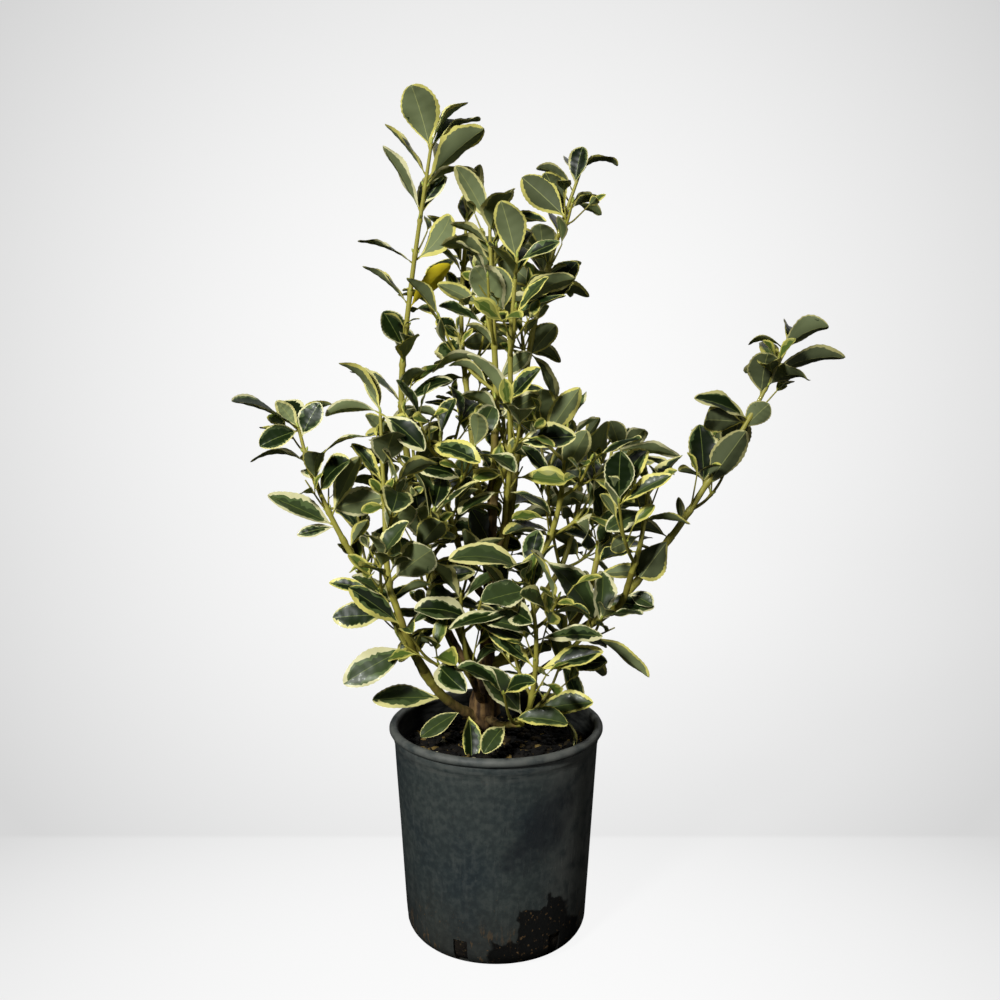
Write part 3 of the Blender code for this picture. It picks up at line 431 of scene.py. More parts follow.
# Leaves that show clearly from the front: foot and tip in millimetres, which way the upper face
# looks in tenths, how many degrees the leaf bends, and its width in hundredths of its length
PLACED = {
    "leaves_left": (
        (-109, -52, 545, -147, -56, 592, 5, 7, 5, 75, 34),
        (-109, -52, 545, -125, -44, 588, 2, 10, -1, 30, 34),
        (-109, -52, 545, -160, -58, 543, -1, 7, 8, 75, 34),
        (-109, -52, 545, -66, -76, 512, 1, -8, 7, 35, 42),
        (-107, -58, 494, -93, -92, 531, 0, 7, 7, 30, 64),
        (-91, -100, 484, -52, -112, 505, -2, 6, 8, 65, 52),
        (-106, -61, 478, -136, -57, 517, 4, -8, 4, 35, 34),
        (-103, -69, 429, -80, -105, 467, 2, 8, 6, 35, 55),
        (-98, -71, 389, -58, -113, 426, 4, 8, 4, 30, 53),
        (-95, -70, 363, -135, -86, 395, 7, -4, 6, 25, 40),
        (-88, -70, 342, -137, -92, 386, 6, -7, 3, 20, 34),
        (-98, -71, 372, -60, -83, 387, -1, 7, 7, 30, 38),
        (-84, -46, 316, -147, -68, 285, -1, -8, 6, 25, 44),
        (-50, -17, 253, -123, -39, 259, 3, -7, 7, 28, 34),
        (-83, -45, 314, -63, -59, 320, 2, 6, 8, 110, 64),
    ),
    "leaves_tall_left": (
        (-96, 32, 550, -71, 24, 582, -6, 5, 6, 95, 56),
        (-95, 32, 542, -53, 28, 531, 2, 7, 7, 65, 39),
        (-63, 9, 793, -80, -3, 852, 2, 10, 2, 38, 64),
        (-68, 12, 765, -11, 2, 813, -5, 5, 7, 20, 52),
        (-63, 9, 795, -15, 25, 824, -4, -3, 9, 55, 64),
        (-73, 15, 735, -109, 7, 798, 7, 5, 5, 15, 34),
        (-67, 11, 770, -108, 19, 820, 8, -1, 6, 15, 38),
        (-81, 20, 690, -44, 6, 733, 6, 8, -2, 60, 51),
        (-81, 20, 687, -137, 24, 709, 3, -1, 9, 35, 41),
        (-87, 24, 647, -133, 26, 685, 6, -1, 8, 28, 42),
        (-88, 24, 642, -45, 18, 687, -6, 4, 6, 12, 43),
        (-93, 28, 604, -112, 18, 641, 5, -8, 1, 18, 64),
        (-72, 14, 742, -49, 24, 772, -1, -9, 4, 20, 45),
    ),
    "leaves_far_left": (
        (-172, -70, 492, -119, -72, 525, -5, -1, 8, 70, 34),
        (-139, -71, 418, -119, -81, 448, -1, 9, 4, 25, 40),
        (-102, -56, 350, -157, -62, 349, 1, -8, 6, 25, 49),
        (-117, -63, 377, -160, -59, 383, 0, -8, 6, 20, 34),
        (-183, -66, 530, -217, -84, 517, 2, -8, 6, 35, 64),
        (-184, -66, 532, -236, -108, 560, 4, 1, 9, 25, 46),
        (-184, -66, 532, -203, -72, 558, -1, 10, 2, 40, 48),
        (-182, -67, 523, -164, -63, 556, -2, -9, 2, 25, 64),
        (-184, -66, 532, -154, -56, 554, -6, 6, 6, 75, 54),
        (-175, -69, 499, -228, -75, 501, 0, 0, 10, 75, 58),
        (-164, -71, 471, -133, -91, 505, -8, -5, 4, 60, 64),
        (-150, -72, 440, -211, -86, 472, 4, -8, 5, 12, 38),
        (-150, -72, 440, -185, -84, 434, 2, -8, 6, 30, 34),
        (-154, -73, 449, -125, -87, 508, -2, 9, 3, 40, 37),
        (-157, -72, 456, -106, -60, 466, -2, 10, 1, 35, 55),
    ),
    "leaves_centre": (
        (-1, -7, 589, -62, -13, 581, -2, 6, 8, 90, 34),
        (-8, -3, 569, -46, -13, 588, 2, 6, 8, 90, 34),
        (0, -6, 571, 34, -18, 601, 0, 9, 3, 50, 38),
        (-1, -8, 604, -29, -18, 627, 4, 6, 7, 70, 42),
        (-5, -7, 701, -44, -13, 723, 3, 5, 8, 60, 35),
        (-10, 25, 645, -58, 19, 668, 0, 10, 3, 20, 34),
        (-5, -7, 688, -52, -23, 702, 1, 5, 9, 70, 55),
        (-6, -6, 722, -38, -18, 776, 2, 9, 3, 45, 36),
    ),
    "leaves_inner": (
        (-5, 7, 406, -25, -11, 447, 6, -8, 0, 20, 64),
        (12, -48, 556, 42, -64, 588, -6, -8, 1, 20, 46),
        (3, -20, 537, 42, -38, 562, 2, 9, 4, 30, 40),
        (3, -20, 537, -33, -32, 561, 3, 6, 7, 80, 46),
        (13, -43, 502, 22, -55, 521, 0, 8, 5, 30, 64),
    ),
    "leaves_front": (
        (30, -90, 396, -43, -110, 416, 3, -4, 8, 70, 42),
        (32, -88, 383, -13, -112, 377, 3, -7, 7, 20, 64),
        (21, -80, 357, -44, -96, 347, 0, -4, 9, 40, 34),
        (38, -80, 332, 100, -96, 340, -2, -4, 9, 30, 35),
        (46, -89, 354, 87, -101, 362, -2, 2, 10, 65, 55),
        (28, -53, 246, -15, -59, 299, 5, -8, 3, 22, 43),
        (35, -45, 250, 95, -61, 264, -3, -7, 7, 20, 45),
        (38, -72, 299, 102, -84, 322, -3, -7, 6, 20, 36),
        (38, -81, 334, -11, -91, 353, 4, -4, 8, 55, 49),
        (38, -73, 301, -9, -69, 343, 4, -8, 5, 30, 34),
        (45, -8, 397, 96, -42, 343, 4, -5, 7, 40, 47),
        (62, -36, 291, 111, -30, 296, 0, -7, 7, 12, 53),
    ),
    "leaves_low_front": (
        (-6, 10, 375, -66, -6, 389, 0, 7, 7, 45, 34),
        (-8, 12, 336, -56, -2, 354, 4, -4, 8, 30, 34),
        (-34, -3, 236, -76, -27, 216, 0, -7, 8, 30, 42),
        (-29, 1, 232, -25, -33, 191, 4, -7, 6, 30, 42),
        (11, -28, 230, -12, -56, 210, -1, -5, 8, 35, 57),
    ),
    "leaves_back_right": (
        (34, 63, 600, 59, 53, 544, 8, 6, 2, 60, 34),
        (42, 67, 639, 84, 73, 692, -3, -9, 3, 25, 48),
        (34, 63, 595, 61, 53, 628, 0, 9, 3, 35, 64),
        (73, 58, 733, 26, 66, 776, 3, 9, 2, 25, 53),
        (71, 77, 740, 50, 65, 781, 2, 9, 4, 35, 59),
        (79, 79, 764, 41, 75, 786, 4, 5, 8, 80, 34),
        (81, 79, 767, 89, 85, 809, -4, -9, 2, 30, 51),
        (86, 80, 782, 125, 82, 789, -2, -2, 10, 95, 56),
        (76, 53, 744, 103, 47, 755, -2, 5, 8, 45, 64),
    ),
    "leaves_mid_right": (
        (47, -20, 517, 81, -28, 568, -1, 10, 2, 15, 42),
        (66, -18, 482, 88, -32, 527, 0, 10, 3, 15, 53),
        (61, -14, 464, 78, -28, 476, -2, 6, 8, 40, 64),
        (54, -4, 478, 24, -14, 510, 5, -9, 2, 25, 40),
    ),
    "leaves_behind_right": (
        (137, 105, 487, 123, 95, 526, 3, 9, 3, 25, 60),
        (94, 96, 504, 112, 100, 529, -2, 10, 0, 20, 51),
        (91, 94, 373, 55, 82, 406, 4, 6, 7, 60, 48),
    ),
    "leaves_right_low": (
        (115, -81, 464, 114, -93, 514, -5, -8, -2, 15, 57),
        (115, -80, 462, 162, -88, 491, -5, -5, 7, 20, 36),
        (117, -76, 453, 106, -90, 490, 3, 9, 4, 25, 62),
        (139, -33, 408, 101, -47, 402, 0, -4, 9, 30, 64),
        (101, 26, 372, 153, 16, 378, 2, 10, 1, 30, 34),
        (146, -34, 449, 105, -56, 433, 1, -7, 7, 30, 44),
        (142, -34, 425, 110, -54, 415, -4, 9, -3, 30, 46),
        (133, 4, 358, 158, -10, 348, -1, -7, 7, 35, 64),
    ),
    "leaves_right": (
        (118, 30, 500, 188, 26, 495, 1, 7, 7, 45, 34),
        (110, 31, 426, 91, 5, 476, 8, -5, 0, 12, 64),
        (106, 29, 397, 125, -5, 447, -8, -6, -1, 15, 43),
        (104, 28, 386, 124, 16, 417, -5, 7, 6, 35, 54),
    ),
    "leaves_low_right": (
        (100, 4, 348, 160, -8, 346, -1, -8, 6, 25, 34),
        (96, -39, 326, 150, -51, 286, 5, 7, 5, 15, 34),
        (85, -17, 316, 111, -23, 308, 2, -4, 9, 20, 64),
    ),
    "leaves_right_arm": (
        (186, -1, 431, 182, -5, 458, 4, 9, 2, 10, 35),
        (177, 0, 418, 143, -26, 381, -2, 9, -4, 20, 64),
        (175, 0, 415, 119, -30, 428, -1, 6, 8, 60, 34),
        (260, -9, 558, 259, -35, 601, -1, 9, 5, 40, 64),
        (279, -7, 596, 322, -13, 626, -3, 7, 6, 85, 52),
        (269, -8, 576, 343, -2, 596, -2, 7, 7, 62, 34),
        (282, -6, 603, 247, -2, 608, 1, -1, 10, 85, 64),
        (248, -10, 535, 192, -20, 557, 4, -6, 7, 40, 44),
        (207, -4, 466, 202, 2, 530, 2, -10, 1, 22, 52),
        (206, -4, 464, 242, -28, 526, 3, 9, 2, 14, 46),
        (246, -10, 533, 202, -28, 537, -4, 9, 1, 45, 63),
        (243, -10, 526, 265, -22, 552, 2, 9, 3, 45, 64),
    ),
    "leaves_back_left": (
        (-30, 60, 732, -16, 66, 789, -3, 9, 0, 15, 34),
        (-35, 62, 653, -51, 66, 682, 3, -9, 3, 20, 40),
        (-10, 30, 627, -57, 18, 646, 4, -6, 7, 25, 41),
        (-35, 61, 609, -62, 57, 633, 6, -6, 5, 20, 61),
    ),
    "leaves_centre_right": (
        (8, -29, 639, -1, -35, 682, 2, 10, 2, 20, 64),
        (18, -67, 640, 72, -77, 669, -3, 6, 8, 55, 45),
        (18, -65, 636, 48, -83, 670, -7, -6, 3, 25, 34),
        (20, -34, 685, 60, -40, 704, -4, -7, 6, 25, 39),
        (20, -34, 685, 5, -44, 741, 2, 9, 2, 35, 56),
        (10, -29, 637, -20, -49, 681, 0, 9, 4, 35, 57),
    ),
}

# Leaves left out, by their number in the mass: from the front they hide sky, a placed leaf or
# the crown of the trunk
SKY_SHOWS = {
    "leaves_tall_left": (4, 5, 6, 7, 10, 13, 14, 18, 19, 20, 21, 22),
    "leaves_far_left": (0, 2, 6, 12, 13, 17, 18, 23, 26, 32, 33, 34, 37, 38, 42, 44, 45, 46),
    "leaves_left": (4, 6, 10, 11, 34),
    "leaves_front": (1, 2, 11, 18, 23, 24, 25, 29, 30, 31, 32, 33, 34, 51),
    "leaves_right_arm": (0, 2, 4, 6, 8, 12, 13, 19, 20, 21, 22, 23, 24, 26, 27, 28),
    "leaves_mid_right": (5, 6, 8, 9, 15, 17),
    "leaves_right": (0, 9, 10, 11, 26),
    "leaves_right_low": (0, 5, 6, 7, 9, 12),
    "leaves_low_left": (23,),
    "leaves_low_front": (1, 9, 15),
    "leaves_low_right": (5, 8, 10, 11, 17),
    "leaves_mid_left": (12, 15, 19),
    "leaves_inner": (3, 5, 6, 7, 12, 13, 17, 20),
    "leaves_centre_right": (0, 1, 2, 3, 5, 7, 10, 11, 15),
    "leaves_centre": (3, 17, 19, 25, 27),
    "leaves_back_right": (7, 17, 18, 19, 20, 21, 22, 23, 28, 46, 47, 48, 49, 54, 58, 59),
    "leaves_back_left": (6, 10, 12, 19, 27, 30),
    "leaves_behind": (32,),
    "leaves_behind_left": (18, 31, 32, 48),
    "leaves_behind_right": (26, 27, 28),
}


def screen(red, green, blue):
    """A colour as a screen shows it, from 0 to 255, turned into the light that it stands for."""
    shares = [level / 255 for level in (red, green, blue)]
    return tuple(s / 12.92 if s <= 0.04045 else ((s + 0.055) / 1.055) ** 2.4 for s in shares)


def metres(millimetres):
    return tuple(number / 1000 for number in millimetres)


def smooth_line(points, step, straight=0.0):
    """A smooth line through a few points, as points about one step apart.

    With straight, it has a short straight stretch at both ends.
    """
    given = [Vector(point) for point in points]
    spans = [(after - before).length for before, after in zip(given, given[1:])]
    slopes = [(given[1] - given[0]) / spans[0]]
    for i in range(1, len(given) - 1):
        slopes.append((given[i + 1] - given[i - 1]) / (spans[i] + spans[i - 1]))
    slopes.append((given[-1] - given[-2]) / spans[-1])
    fine = []
    for i, span in enumerate(spans):
        for t in (j / LINE_FINE for j in range(LINE_FINE)):
            place = given[i] * ((1 + 2 * t) * (1 - t) ** 2) + given[i + 1] * (t * t * (3 - 2 * t))
            pull = slopes[i] * (t * (1 - t) ** 2) + slopes[i + 1] * (t * t * (t - 1))
            fine.append(place + pull * span)
    fine.append(given[-1])
    marks = [0.0]
    for before, after in zip(fine, fine[1:]):
        marks.append(marks[-1] + (after - before).length)
    count = max(2, round(marks[-1] / step))
    wanted = [marks[-1] * i / count for i in range(count + 1)]
    if straight:
        wanted = [0.0, straight, *wanted[1:-1], marks[-1] - straight, marks[-1]]
    line = []
    for distance in wanted:
        last = len(fine) - 2
        i = next((i for i in range(last + 1) if marks[i + 1] >= distance), last)
        line.append(fine[i].lerp(fine[i + 1], (distance - marks[i]) / (marks[i + 1] - marks[i])))
    return line


class Shoot:
    """A limb, a stem or a twig: a line of points and a radius that shrinks along it."""

    def __init__(self, line, foot_radius, tip_radius):
        self.line = line
        self.marks = [0.0]
        for before, after in zip(line, line[1:]):
            self.marks.append(self.marks[-1] + (after - before).length)
        self.length = self.marks[-1]
        change = tip_radius - foot_radius
        self.radii = [foot_radius + change * mark / self.length for mark in self.marks]
        self.pairs = []  # how far along it leaves join it

    def at(self, distance):
        """The point, the direction and the radius at a distance from the foot."""
        last = len(self.line) - 2
        i = next((i for i in range(last + 1) if self.marks[i + 1] > distance), last)
        share = (distance - self.marks[i]) / (self.marks[i + 1] - self.marks[i])
        before, after = self.line[i], self.line[i + 1]
        radius = self.radii[i] + (self.radii[i + 1] - self.radii[i]) * share
        return before.lerp(after, share), (after - before).normalized(), radius

    def distance_to(self, place):
        return min((point - place).length for point in self.line)


class Leaf:
    """One arched leaf: where each point of its blade lies."""

    def __init__(self, base, outward, stemward, length, bend):
        self.base = base
        self.along = outward.normalized()
        self.across = stemward.cross(self.along).normalized()
        self.over = self.along.cross(self.across)
        self.length = length
        self.bend = bend
        self.young = False
        self.broad = None
        self.piece = None
        self.spur = None

    def point(self, reach, side, lift):
        """reach runs 0 to 1 from base to tip, side -1 to 1 across, lift in metres."""
        turned = self.bend * reach
        forward = self.length * sin(turned) / self.bend
        down = self.length * (1 - cos(turned)) / self.bend
        normal = self.over * cos(turned) + self.along * sin(turned)
        half = 0.5 * LEAF_WIDTH * self.length * side
        folded = self.across * half * cos(LEAF_FOLD) + normal * abs(half) * sin(LEAF_FOLD)
        return self.base + self.along * forward - self.over * down + folded + normal * lift


def placed_leaf(row):
    """A leaf from its foot to its tip, which bends away from where its upper face looks."""
    base, tip = Vector(metres(row[:3])), Vector(metres(row[3:6]))
    over = Vector([share / 10 for share in row[6:9]])
    bend, broad = row[9:]
    chord = tip - base
    half = radians(bend) / 2
    over = over - chord * (over.dot(chord) / chord.length_squared)
    outward = chord.normalized() * cos(half) + over.normalized() * sin(half)
    leaf = Leaf(base, outward, over, chord.length * half / sin(half), 2 * half)
    leaf.broad = broad / 100
    return leaf


def blade(leaf, thick, begin=0.0):
    """The source's plain leaf, a six-sided blade, for finding what a leaf would touch."""
    solid = bmesh.new()
    bmesh.ops.create_uvsphere(solid, u_segments=6, v_segments=2, radius=1)
    turn = Matrix.Rotation(pi / 6, 3, "Z")
    bmesh.ops.rotate(solid, cent=(0, 0, 0), matrix=turn, verts=solid.verts)
    for vertex in solid.verts:
        x, y, z = vertex.co
        reach = LEAF_RIDGE if abs(z) > 0.5 else (0.5 * max(x + 1, 0)) ** LEAF_SHOULDER
        side = y / sin(pi / 3) * (LEAF_NARROW if x < 0 else 1.0)
        vertex.co = leaf.point(begin + (1 - begin) * reach, side, z * thick / 2)
    return solid


def rod(line, radii, sides):
    """A straight-sided rod along a line, for finding what it would touch."""
    solid = bmesh.new()
    for before, after, near, far in zip(line, line[1:], radii, radii[1:]):
        run = after - before
        turn = run.to_track_quat("Z", "Y").to_matrix().to_4x4()
        place = Matrix.Translation((before + after) / 2) @ turn
        bmesh.ops.create_cone(
            solid, segments=sides, radius1=near, radius2=far, depth=run.length, matrix=place
        )
    return solid


def search_tree(solid):
    """What finds the overlaps of a solid, and the box round it."""
    tree = BVHTree.FromBMesh(solid)
    corners = [vertex.co for vertex in solid.verts]
    box = [(min(co[i] for co in corners), max(co[i] for co in corners)) for i in range(3)]
    solid.free()
    return tree, box


def meet(first, second):
    """Whether two pieces of the room touch, if they are of one mass by their outer parts."""
    owner, (outer, _), (whole, box) = first
    other_owner, (other_outer, _), (other_whole, other_box) = second
    if any(low > far or high < near for (low, high), (near, far) in zip(box, other_box)):
        return False
    return bool(outer.overlap(other_outer) if owner == other_owner else whole.overlap(other_whole))


class Room:
    """What already takes up space, so that nothing grows through anything else.

    Each piece is kept as the mass or limb that owns it, its outer part and its whole. Pieces
    of one mass may touch at their roots, so they are compared by their outer parts alone.
    """

    def __init__(self):
        self.taken = []

    def free(self, piece):
        return not any(meet(piece, other) for other in self.taken)

    def take(self, piece):
        self.taken.append(piece)


def rod_piece(owner, shoot, sides, bare=0.0):
    """A shoot as a piece of the room, its outer part starting a bare length from its foot."""
    radii = [radius + TEST_MARGIN for radius in shoot.radii]
    start = shoot.at(bare)[0]
    outer = search_tree(rod([start, *shoot.line[1:]], radii, sides))
    return owner, outer, search_tree(rod(shoot.line, radii, sides))


def leaf_piece(owner, leaf):
    outer = search_tree(blade(leaf, TEST_THICK, TEST_BEGIN))
    return owner, outer, search_tree(blade(leaf, TEST_THICK))


def turned_from(direction, angle):
    """A direction square to another, turned round it by an angle."""
    side = direction.cross(Vector((0, 1, 0))).normalized()
    return Quaternion(direction, angle) @ side


class Mass:
    """A mass of leaves: its stem, its side twigs and its leaves, grown by a seeded rule."""

    def __init__(self, name, limb, points, rule, room):
        self.name = name
        self.rule = rule
        self.room = room
        foot, towards, radius = limb.at(limb.length)
        start = (foot + towards * CLEAR, foot + towards * STEM_START)
        line = smooth_line([*start, *map(metres, points)], LIMB_STEP, STRAIGHT)
        self.stem = Shoot(line, radius, STEM_TIP)
        self.twigs = []
        self.spurs = []
        self.leaves = []
        self.axils = []
        self.room.take(rod_piece(name, self.stem, STEM_SIDES))

    def grow(self):
        self.draw = Random(self.rule.seed)
        self.dress(self.stem, self.rule.bare, radians(self.rule.turn), True)

    def dress(self, shoot, bare, turn, branching):
        """Pairs of leaves along a shoot, each a quarter turn on, and side twigs in their axils."""
        distance = bare
        while distance < shoot.length - NODE_GAP / 2:
            rise = distance / shoot.length
            shoot.pairs.append(distance)
            for half in (0, 1):
                angle = turn + half * pi + self.draw.uniform(*DRAW_ANGLE)
                size = self.draw.uniform(*DRAW_SIZE)
                branches = branching and rise < TWIG_TOP and self.draw.random() < self.rule.twiggy
                if not (branches and self.twig(shoot, distance, angle, rise)):
                    self.axils.append((shoot, distance, angle))
                    lean = radians(self.rule.lean) - LEAN_LOSS * rise
                    self.leaf(shoot, distance, angle, size, lean)
            turn += pi / 2 + self.draw.uniform(*DRAW_TURN)
            gap = NODE_GAP * (GAP_CHANGE[0] - GAP_CHANGE[1] * rise)
            distance += gap * self.draw.uniform(*DRAW_GAP)
        for pair in (0, 1):
            for half in (0, 1):
                angle = turn + half * pi + self.draw.uniform(*DRAW_TIP_ANGLE)
                size = TIP_SIZE[pair] * self.draw.uniform(*DRAW_TIP_SIZE)
                self.leaf(shoot, shoot.length - TIP_BACK[pair], angle, size, LEAN_TIP[pair])
            turn += pi / 2

    def leaf(self, shoot, distance, angle, size, lean, bends=DRAW_BEND):
        """One leaf, turned a little and tried again until its place is free."""
        centre, direction, radius = shoot.at(distance)
        for _ in range(LEAF_TRIES):
            tilt = lean + self.draw.uniform(*DRAW_LEAN)
            bend = self.draw.uniform(*bends)
            side = turned_from(direction, angle + self.draw.uniform(*DRAW_SIDE))
            outward = direction * cos(tilt) + side * sin(tilt)
            roll = Quaternion(outward, self.draw.uniform(*DRAW_ROLL))
            over = roll @ (direction - side * OVER_SIDE + UP * OVER_UP)
            root = centre - side * radius * LEAF_SUNK
            leaf = Leaf(root, outward, over, LEAF_LENGTH * self.rule.leaf * size, bend)
            tip = leaf.point(1, 0, 0)
            if self.stem.distance_to(tip) > self.rule.reach or tip.z < SOIL_LEVEL:
                continue
            piece = leaf_piece(self.name, leaf)
            if self.room.free(piece):
                self.room.take(piece)
                leaf.piece = piece
                self.leaves.append(leaf)
                return leaf
        return None

    def twig(self, shoot, distance, angle, rise):
        """A side twig with leaves of its own, if its place is free."""
        foot, direction, _ = shoot.at(distance)
        side = turned_from(direction, angle)
        length = TWIG_LENGTH * (TWIG_LONG[0] - TWIG_LONG[1] * rise) * self.draw.uniform(*DRAW_TWIG)
        outward = direction * TWIG_AHEAD + side * TWIG_ASIDE
        middle = foot + outward.normalized() * length / 2
        tip = middle + (outward + UP * TWIG_CLIMB).normalized() * length / 2
        if self.stem.distance_to(tip) > self.rule.reach * TWIG_REACH:
            return False
        twig = Shoot(smooth_line([foot, middle, tip], TWIG_STEP), TWIG_FOOT, TWIG_TIP)
        piece = rod_piece(self.name, twig, TWIG_SIDES, TWIG_BARE)
        if not self.room.free(piece):
            return False
        self.room.take(piece)
        self.twigs.append(twig)
        self.dress(twig, length * TWIG_LEAFLESS, angle + pi / 2, False)
        return True

    def refine(self):
        """Short young shoots in the axils, within the mass's reach and clear of what is there."""
        self.draw = Random(self.rule.seed)
        for shoot, distance, angle in self.axils:
            if self.draw.random() < SPUR_CHANCE:
                for _ in range(SPUR_TRIES):
                    around = angle + self.draw.uniform(*SPUR_ANGLE)
                    length = self.draw.uniform(*SPUR_LENGTH)
                    if self.spur(shoot, distance + SPUR_ABOVE, around, length):
                        break

    def spur(self, shoot, distance, angle, length):
        """A short young shoot with two pairs of small leaves, if its place is free."""
        foot, direction, radius = shoot.at(distance)
        outward = (direction * SPUR_STEEP + turned_from(direction, angle)).normalized()
        bare = SPUR_BARE + radius * SPUR_STEEP
        middle = foot + outward * bare
        tip = middle + (outward + UP * TWIG_CLIMB / 2).normalized() * length
        spur = Shoot(smooth_line([foot, middle, tip], SHOOT_STEP * 2), *SPUR_RADIUS)
        piece = rod_piece(self.name, spur, TWIG_SIDES, bare)
        if not self.room.free(piece):
            return False
        self.room.take(piece)
        self.spurs.append(spur)
        size = self.draw.uniform(*YOUNG_SIZE)
        for pair, lean in enumerate(SPUR_LEAN):
            for half in (0, 1):
                around = angle + (half + pair / 2) * pi + self.draw.uniform(*DRAW_ANGLE)
                grown = size * SPUR_SIZES[pair] * self.draw.uniform(*DRAW_SIZE)
                place = spur.length * SPUR_PAIRS[pair]
                leaf = self.leaf(spur, place, around, grown, lean, YOUNG_BEND)
                if leaf:
                    leaf.young = True
                    leaf.spur = spur
        return True


@lru_cache
def grown_plant():
    """The limbs as shoots and the masses with their leaves."""
    room = Room()
    limbs = {}
    for name, (parent, points, radii) in LIMBS.items():
        step = TRUNK_STEP if parent is None else LIMB_STEP
        line = smooth_line(map(metres, points), step, STRAIGHT)
        limbs[name] = Shoot(line, *(radius / 10000 for radius in radii))
        room.take(rod_piece(name, limbs[name], LIMB_SIDES))
    masses = {}
    for name, (limb, points, rule) in MASSES.items():
        masses[name] = Mass(name, limbs[limb], points, rule, room)
    for mass in masses.values():
        mass.grow()
    for mass in masses.values():
        mass.refine()
    for name, given in PLACED.items():
        for row in given:
            leaf = placed_leaf(row)
            piece = leaf_piece(name, leaf)
            for mass in masses.values():
                mass.leaves = [
                    other for other in mass.leaves if other.broad or not meet(piece, other.piece)
                ]
            masses[name].leaves.append(leaf)
    for name, mass in masses.items():
        gone = SKY_SHOWS.get(name, ())
        mass.leaves = [leaf for number, leaf in enumerate(mass.leaves) if number not in gone]
        leafy = [leaf.spur for leaf in mass.leaves]
        mass.spurs = [spur for spur in mass.spurs if spur in leafy]
    return limbs, masses


Cells = namedtuple("Cells", "spots loops sizes rows strips")


def cells_of(solid, strips=1):
    """A template's corners and faces as arrays, each face known by its row and its strip."""
    solid.verts.index_update()
    spots = np.array([vertex.co for vertex in solid.verts])
    loops = np.array([vertex.index for face in solid.faces for vertex in face.verts])
    sizes = np.array([len(face.verts) for face in solid.faces])
    rows, columns = np.divmod([face.material_index for face in solid.faces], strips)
    solid.free()
    return Cells(spots, loops, sizes, rows, columns)


@lru_cache(maxsize=None)
def tube_cells(rings, sides):
    """A tube closed at both ends: which ring a corner is on, and where on the ring."""
    solid = bmesh.new()
    bmesh.ops.create_grid(solid, x_segments=rings + 1, y_segments=sides, size=0.5)
    for vertex in solid.verts:
        ring = round((vertex.co.x + 0.5) * (rings + 1))
        turn = -2 * pi * (vertex.co.y + 0.5)
        spread = 0 if ring in (0, rings + 1) else 1
        vertex.co = (ring, spread * cos(turn), spread * sin(turn))
    bmesh.ops.remove_doubles(solid, verts=solid.verts, dist=CLOSE)
    return cells_of(solid)


@lru_cache(maxsize=None)
def leaf_cells(rows):
    """A blade closed at its rim: each corner by its row, its column and its face of the leaf.

    The columns of the upper face come first, then those of the lower one, then the midline of
    both ends.
    """
    solid = bmesh.new()
    everything = TOP_STRIPS + BACK_STRIPS
    for strips, first, side in ((TOP_STRIPS, 0, 1), (BACK_STRIPS, TOP_STRIPS, -1)):
        before = set(solid.faces)
        bmesh.ops.create_grid(solid, x_segments=rows, y_segments=strips, size=0.5)
        faces = [face for face in solid.faces if face not in before]
        for face in faces:
            middle = face.calc_center_median()
            strip = floor((middle.y + 0.5) * strips)
            face.material_index = floor((middle.x + 0.5) * rows) * everything + first + strip
        for vertex in {vertex for face in faces for vertex in face.verts}:
            row, column = round((vertex.co.x + 0.5) * rows), round((vertex.co.y + 0.5) * strips)
            inside = 0 < column < strips
            if row in (0, rows):
                vertex.co = (row, everything + 2, 0)
            elif inside:
                vertex.co = (row, column + (0 if side > 0 else TOP_STRIPS + 1), side)
            else:
                vertex.co = (row, TOP_STRIPS if column else 0, 0)
        if side < 0:
            bmesh.ops.reverse_faces(solid, faces=faces)
    bmesh.ops.remove_doubles(solid, verts=solid.verts, dist=CLOSE)
    return cells_of(solid, everything)


@lru_cache(maxsize=None)
def bud_cells():
    """A ball of few faces, which becomes a pointed bud."""
    solid = bmesh.new()
    bmesh.ops.create_uvsphere(solid, u_segments=6, v_segments=5, radius=1)
    return cells_of(solid)


@lru_cache(maxsize=None)
def crumb_cells():
    """A ball of twenty faces, which becomes a crumb or a chip."""
    solid = bmesh.new()
    bmesh.ops.create_icosphere(solid, subdivisions=1, radius=1)
    return cells_of(solid)


def solid_mesh(name, solid):
    mesh = bpy.data.meshes.new(name)
    solid.to_mesh(mesh)
    solid.free()
    return mesh


class Heap:
    """Many small closed shapes, gathered as arrays and made one mesh."""

    def __init__(self):
        self.spots = []
        self.loops = []
        self.sizes = []
        self.kinds = []
        self.count = 0

    def add(self, cells, spots, kinds):
        """One shape: where its corners lie, and the finish of each face or of them all."""
        self.spots.append(spots)
        self.loops.append(cells.loops + self.count)
        self.sizes.append(cells.sizes)
        self.kinds.append(np.broadcast_to(kinds, cells.sizes.shape))
        self.count += len(spots)

    def mesh(self, name):
        mesh = bpy.data.meshes.new(name)
        loops = np.concatenate(self.loops)
        sizes = np.concatenate(self.sizes)
        mesh.vertices.add(self.count)
        mesh.vertices.foreach_set("co", np.concatenate(self.spots).astype(np.float32).ravel())
        mesh.loops.add(len(loops))
        mesh.loops.foreach_set("vertex_index", loops.astype(np.int32))
        mesh.polygons.add(len(sizes))
        mesh.polygons.foreach_set("loop_start", (np.cumsum(sizes) - sizes).astype(np.int32))
        mesh.polygons.foreach_set("material_index", np.concatenate(self.kinds).astype(np.int32))
        mesh.update(calc_edges=True)
        if mesh.validate():
            raise RuntimeError(f"{name}: some faces were not sound")
        return mesh


